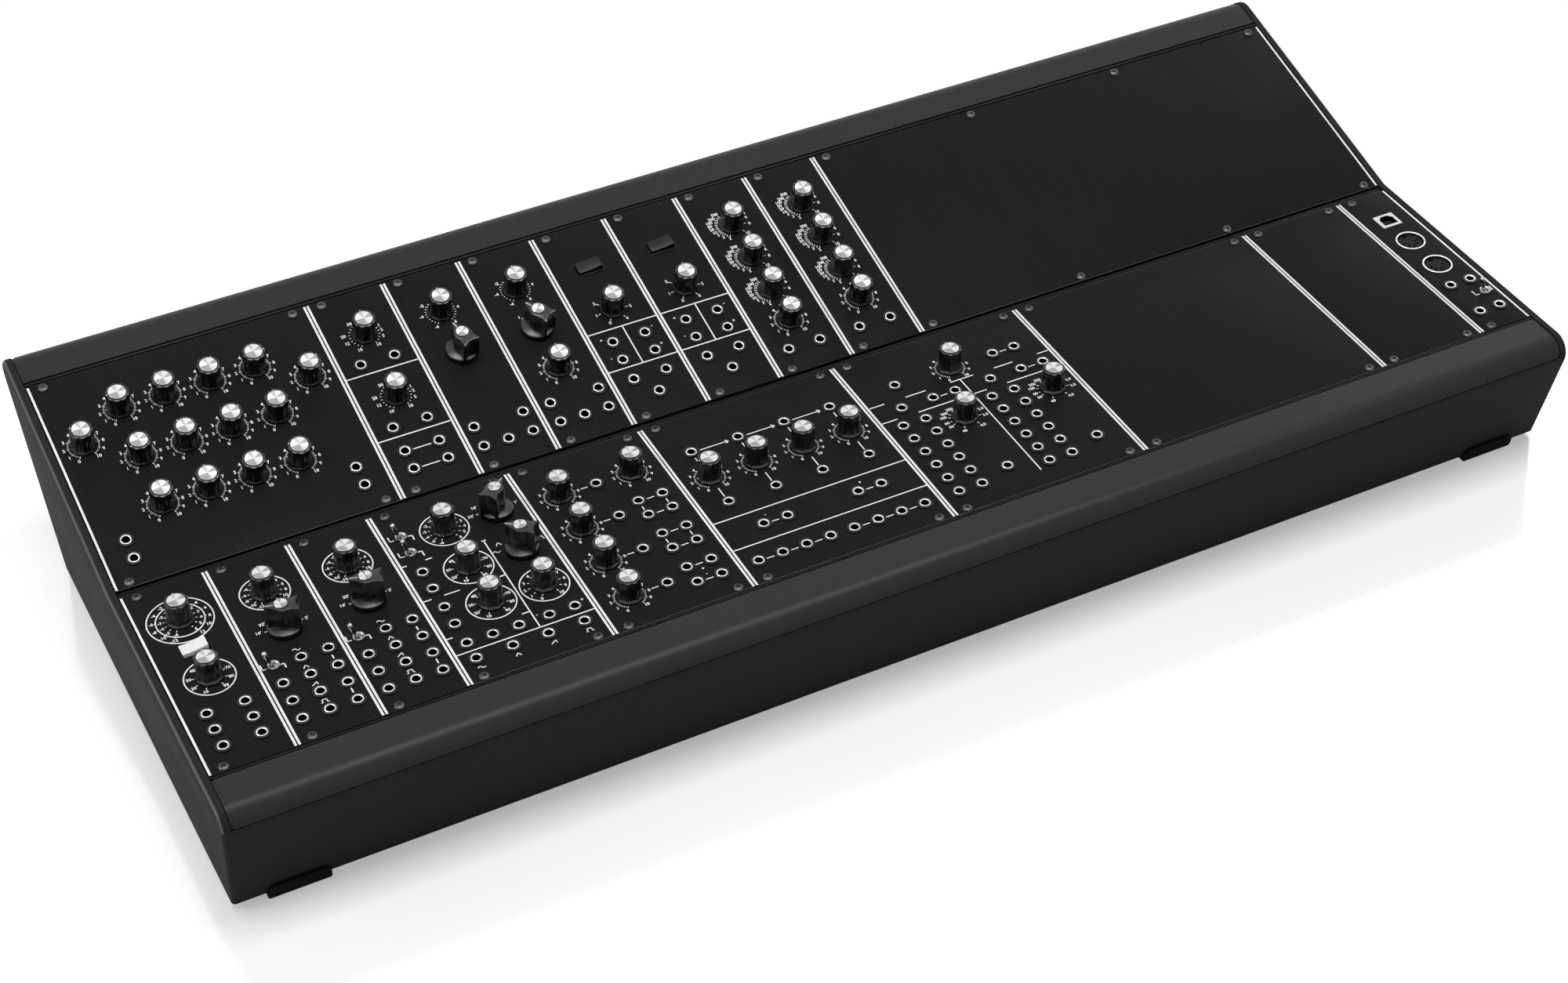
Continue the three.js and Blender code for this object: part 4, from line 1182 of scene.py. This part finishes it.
def slot_marks(side):
    """Pressed slots along a cheek, in groups of a long stroke, two dots and a short stroke"""
    groups = [
        ((-1, -15.5), (8, -11.5)), ((124, -16), (130, -10)),
        ((137, -16), (144, -10)), ((263, 12), (270, 16))]
    marks = []
    for start, end in groups:
        run = Vector(end) - Vector(start)
        angle = math.atan2(run.y, run.x)
        for share, length in ((0.1, 0.1), (0.36, 0.04), (0.5, 0.04), (0.8, 0.24)):
            middle = Vector(start) + run * share
            half = max(run.length * length, 0.45)
            mark = slab("slot_mark", (-1, -half, -0.5), (1, half, 0.5), 0.15)
            place = Matrix.Translation(Vector((side * (CHEEK_OUTER + 0.2), *middle)) * MM)
            mark.data.transform(place @ Matrix.Rotation(angle, 4, "X"))
            marks.append(mark)
    return marks


def rounded(before, corner, after, radius, steps=4):
    """Points of the arc that takes the place of a corner"""
    corner = Vector(corner)
    back = (Vector(before) - corner).normalized()
    on = (Vector(after) - corner).normalized()
    half = back.angle(on) / 2
    centre = corner + (back + on).normalized() * radius / math.sin(half)
    start = corner + back * radius / math.tan(half) - centre
    sweep = start.angle_signed(corner + on * radius / math.tan(half) - centre)
    return [tuple(centre + Matrix.Rotation(-sweep * step / steps, 2) @ start) for step in range(steps + 1)]


def round_ends(piece, radius, steps=4):
    """Rounds the two ends of a piece drawn across, ring by ring"""
    with shaping(piece):
        choose("FACE", lambda p, n: abs(n.x) > 0.99)
        for step in range(steps):
            now, then = (math.pi / 2 * share / steps for share in (step, step + 1))
            bpy.ops.mesh.inset(
                thickness=radius * (math.cos(now) - math.cos(then)) * MM,
                depth=radius * (math.sin(then) - math.sin(now)) * MM)


def build_tub():
    front_foot, rear_foot = (front_wall(BASE), BASE), (rear_wall(BASE), BASE)
    outline = rounded((front_wall(0), 0), front_foot, rear_foot, CASE_CORNER)
    outline += rounded(front_foot, rear_foot, (rear_wall(0), 0), CASE_CORNER)
    outline += arc(REAR_CENTRE, BEND_OUTSIDE, *REAR_BEND) + [(UPPER_START, 0)]
    outline += arc(FRONT_CENTRE, BEND_OUTSIDE, *FRONT_BEND)
    tub = across("case_shell", outline, CASE_CORNER - CHEEK_OUTER, CHEEK_OUTER - CASE_CORNER)
    round_ends(tub, CASE_CORNER)
    floor = BASE + 2
    hollow = [(front_wall(floor, 2), floor), (rear_wall(floor, 2), floor)]
    hollow += arc(REAR_CENTRE, BEND_INSIDE, REAR_BEND[0], REAR_MOUTH)
    hollow += [polar(REAR_CENTRE, 30, REAR_MOUTH), (305, 60), (-50, 60), polar(FRONT_CENTRE, 30, FRONT_MOUTH)]
    hollow += arc(FRONT_CENTRE, BEND_INSIDE, FRONT_MOUTH, FRONT_BEND[1])
    cut(tub, across("tub_hollow", hollow, -CHEEK_INNER, CHEEK_INNER))
    inlet = turned("inlet_hole", [(5.8, -20), (5.8, 20)], 32)
    inlet.data.transform(inlet_place())
    cut(tub, inlet)
    marks = joined("slot_tool", slot_marks(-1) + slot_marks(1))
    # Painted shade: a dark filling of the slots, a little further in than they are deep
    fill = copied(marks, Matrix.Diagonal((0.9965, 1, 1, 1)))
    cut(tub, marks)
    lip = Vector(polar(FRONT_CENTRE, BEND_OUTSIDE, FRONT_MOUTH))
    with shaping(tub):
        choose("EDGE", lambda a, b: 600 < abs(a.x - b.x) < 713 and (a.yz - lip).length < 0.3)
        round_edges(0.35, 2)
    soften(tub)
    tub.data.transform(LOWER_TIER)
    complete(tub, "case", "case_grey", CASE_PAINT, "case_tub")
    # Painted highlight: the upward-facing rounded rims of the cheeks take a lighter, glossier finish
    tub.data.materials.append(CASE_RIM_HIGHLIGHT)
    for face in tub.data.polygons:
        near_side = CHEEK_OUTER - 1.4 < abs(face.center.x / MM) < CHEEK_OUTER - 0.15
        if near_side and face.normal.z > 0.04 and abs(face.normal.x) > 0.1:
            face.material_index = 1
    fill.data.transform(LOWER_TIER)
    complete(joined("slot_shadows", [fill]), "case", "socket_black", BORE_BLACK)


def inlet_place():
    """Middle of the power inlet on the rear wall, its z looking outwards"""
    where = Matrix.Translation(Vector((-290, rear_wall(-48), -48)) * MM)
    return where @ Matrix.Rotation(-math.radians(90) - REAR_LEAN, 4, "X")


def cover_outline(centre, along, up, ledge, groove, seam, top):
    """Cover strip over a bend, its flat part folded down where the panels begin"""
    reach = ledge - groove
    fold = [
        (reach - 0.3, COVER_OUTSIDE), (reach, 9.4), (reach, 0.7),
        (reach - 2, 0.7), (reach - 2, COVER_INSIDE)]
    points = arc(centre, COVER_OUTSIDE, seam, top)
    points += [tuple(centre + along * distance + up * height) for distance, height in fold]
    return points + arc(centre, COVER_INSIDE, top, seam)


def build_cover(name, outline):
    tab = CHEEK_INNER - 0.45
    cover = across(name, outline, 1.5 - tab, tab - 1.5)
    with shaping(cover):
        choose("FACE", lambda p, n: abs(n.x) > 0.99)
        bpy.ops.mesh.inset(thickness=0.12 * MM, depth=0.12 * MM)
        bpy.ops.mesh.inset(thickness=0.2 * MM)
        bpy.ops.mesh.inset(depth=1.38 * MM, thickness=0)
    soften(cover, 25)
    cover.data.transform(LOWER_TIER)
    complete(cover, "case", "cover_grey", COVER_METAL, name + "_strip")


def build_rails():
    """Folded rails: a flat bed under the panel edges and a low lip in the gap"""
    top, foot = -2.3, -10.3
    kink = UPPER_START - top * math.tan(TIER_ANGLE / 2)
    under = UPPER_START - foot * math.tan(TIER_ANGLE / 2)
    front = [
        (-1.5, foot), (8, foot), (8, top), (-0.12, top), (-0.12, -0.5), (-1.3, -0.5), (-1.3, top),
        (-1.5, top)]
    centre = [(119, foot), (under, foot), *tier_points((9.5, foot), (9.5, top)), (kink, top), (133.35, top)]
    centre += [
        (133.2, -1.2), (131.35, -1.2), (131.3, -1.6), (130.95, -1.6), (130.9, -1.2), (128.75, -1.2),
        (128.7, top), (119, top)]
    rear = tier_points(
        (121.5, foot), (131.2, foot), (131.2, top), (131, top), (131, -0.5), (129.95, -0.5),
        (129.95, -1.2), (128.75, -1.2), (128.7, top), (121.5, top))
    for node, outline in (("front_rail", front), ("centre_rail", centre), ("rear_rail", rear)):
        rail = across(node + "_profile", outline, 0.3 - CHEEK_INNER, CHEEK_INNER - 0.3)
        soften(rail)
        rail.data.transform(LOWER_TIER)
        complete(rail, "case", "rail_metal", RAIL_METAL, node)


def build_feet():
    """Rubber corner feet: a pad under the base and a lip up the wall with rounded corners"""
    low, seat, high = -70.0, -68.3, -61.5
    for name, wall, inwards in (("front", front_wall, 1), ("rear", rear_wall, -1)):
        inner = wall(BASE) + inwards * 30
        outline = [
            (inner, low), (wall(low, -2.0), low), (wall(high, -2.0), high), (wall(high, -0.3), high),
            (wall(seat, -0.3), seat), (inner, seat)]
        roundings = (
            (4.5, 6, lambda a, b: min(a.z, b.z) > high - 0.01 and abs(a.x - b.x) < 0.01),
            (1.4, 4, lambda a, b: max(a.z, b.z) < low + 0.01 and abs(a.x - b.x) < 0.01),
            (0.4, 2, lambda a, b: all(abs(p.y - wall(p.z, -2.0)) < 0.02 for p in (a, b))))
        for side, x in (("left", -329.25), ("right", 329.25)):
            foot = across(f"{name}_{side}_foot_pad", outline, x - 15.25, x + 15.25)
            for radius, segments, wanted in roundings:
                with shaping(foot):
                    choose("EDGE", wanted)
                    round_edges(radius, segments)
            soften(foot)
            foot.data.transform(LOWER_TIER)
            complete(foot, "case", "foot_rubber", RUBBER, f"{name}_{side}_foot")


def build_power_board():
    """Board on standoffs with a shrouded header for each lead, the supply and its inlet"""
    floor = BASE + 2.3
    parts = [slab("bus_board", (-310, 97, floor + 5), (310, 159, floor + 6.6), 0.15)]
    post = turned("standoff", [(3.0, floor), (3.0, floor + 5.2), (1.5, floor + 7.4), (1.4, floor + 7.6)], 16)
    header = slab("header", (-10, -4.5, floor + 6.4), (10, 4.5, floor + 15.6), 0.3)
    with shaping(header):
        choose("FACE", lambda p, n: n.z > 0.99)
        bpy.ops.mesh.inset(thickness=0.9 * MM)
        pull(z=-7)
    parts += [copied(post, spot(*place)) for place in grid((-302, 0, 302), (105, 151))]
    parts += [copied(header, spot(*place)) for place in grid(spread(-271.25, 77.5, 8), (112.5, 143.5))]
    bpy.data.objects.remove(post)
    bpy.data.objects.remove(header)
    supply_top = (-253, rear_wall(floor, 2) - 3, floor + 28)
    parts.append(slab("supply_box", (-327, 157.4, floor), supply_top, 1.2, 3))
    inlet = turned("power_inlet", [
        (5.2, -24), (5.5, -23), (5.5, 0.7), (5.2, 1.0), (3.5, 1.0), (3.2, 0.7), (3.2, -8), (0.9, -8),
        (0.8, -1.5), (0.4, -1.2)], 32)
    inlet.data.transform(inlet_place())
    board = joined("power_distribution_board", parts + [inlet])
    soften(board)
    board.data.transform(LOWER_TIER)
    complete(board, "case", "board_green", BOARD, "power_board")


build_tub()
build_cover("front_cover", cover_outline(
    FRONT_CENTRE, Vector((1, 0)), Vector((0, 1)), 16.6, 1.8, FRONT_SEAM, FRONT_BEND[0]))
build_cover("rear_cover", cover_outline(
    REAR_CENTRE, -TIER_ALONG, TIER_UP, 15.5, 3.4, REAR_SEAM, REAR_BEND[1]))
build_rails()
build_feet()
build_power_board()

for stock in [
        KNOB, KNOB_CAP, KNOB_DOT, POINTER, POINTER_CAP, POINTER_LINE, SOCKET_NUT, SOCKET_RING, SOCKET_BORE,
        SCREW, TOGGLE_NUT, TOGGLE_LEVER, ROCKER, ROCKER_BEZEL, STROKE, SOCKET_HOLE, SHAFT_HOLE, SHAFT,
        TEN_DIAL, *RINGS.values(), *NUMBERS.values()]:
    bpy.data.objects.remove(stock)


# Table, light and background

TABLE_GLOW = 0.53
TABLE_GLOSS = 0.25


def build_table():
    """White gloss board: a soft shadow and a blurred reflection of the case"""
    deselect()
    bpy.ops.mesh.primitive_plane_add(size=8, location=(0, 0, 0))
    table = named("table")
    material, tree = new_finish("white_table", roughness=0.7, specular=0.1)
    shader = shader_of(tree)
    colour_by(tree, grain(tree, (400, 400, 400)), "e4e4e4", "eaeaea")
    shader.inputs["Emission Color"].default_value = (1, 1, 1, 1)
    ray = add_node(tree, "ShaderNodeLightPath")
    glow = add_node(tree, "ShaderNodeMath", {1: TABLE_GLOW}, operation="MULTIPLY")
    gloss = add_node(tree, "ShaderNodeBsdfGlossy", {"Roughness": 0.12})
    mix = add_node(tree, "ShaderNodeMixShader", {"Fac": TABLE_GLOSS})
    wire(tree, ray, "Is Camera Ray", glow, 0)
    wire(tree, glow, "Value", shader, "Emission Strength")
    wire(tree, shader, "BSDF", mix, 1)
    wire(tree, gloss, "BSDF", mix, 2)
    wire(tree, mix, "Shader", tree.nodes["Material Output"], "Surface")
    table.data.materials.append(material)


def add_lamp(name, place, aim, size, power):
    lamp = bpy.data.lights.new(name, "AREA")
    lamp.shape = "RECTANGLE"
    lamp.size, lamp.size_y = size
    lamp.energy = power
    stand = bpy.data.objects.new(name, lamp)
    stand.location = place
    stand.rotation_euler = (Vector(aim) - Vector(place)).to_track_quat("-Z", "Y").to_euler()
    bpy.context.collection.objects.link(stand)


def light_studio():
    """Three soft lamps, and a dim room that shows as white wherever it is seen"""
    add_lamp("left_softbox", (-1.7, 0.1, 1.0), (0, 0.05, 0), (1.2, 1.2), 9)
    add_lamp("right_softbox", (1.6, 0.9, 1.0), (0, 0.05, 0), (0.8, 0.8), 2)
    add_lamp("top_softbox", (0.0, -0.1, 2.0), (0, 0.05, 0), (2.0, 0.8), 32)
    world = bpy.data.worlds.new("studio")
    bpy.context.scene.world = world
    world.use_nodes = True
    tree = world.node_tree
    room = tree.nodes["Background"]
    room.inputs["Color"].default_value = (0.1, 0.1, 0.1, 1)
    seen = add_node(tree, "ShaderNodeBackground", {"Color": (1, 1, 1, 1)})
    ray = add_node(tree, "ShaderNodeLightPath")
    both = add_node(tree, "ShaderNodeMath", operation="MAXIMUM")
    every = add_node(tree, "ShaderNodeMath", operation="MAXIMUM")
    mix = add_node(tree, "ShaderNodeMixShader")
    wire(tree, ray, "Is Camera Ray", both, 0)
    wire(tree, ray, "Is Glossy Ray", both, 1)
    wire(tree, both, "Value", every, 0)
    wire(tree, ray, "Is Transmission Ray", every, 1)
    wire(tree, every, "Value", mix, "Fac")
    wire(tree, room, "Background", mix, 1)
    wire(tree, seen, "Background", mix, 2)
    wire(tree, mix, "Shader", tree.nodes["World Output"], "Surface")


build_table()
light_studio()
bpy.context.scene.view_settings.view_transform = "Standard"
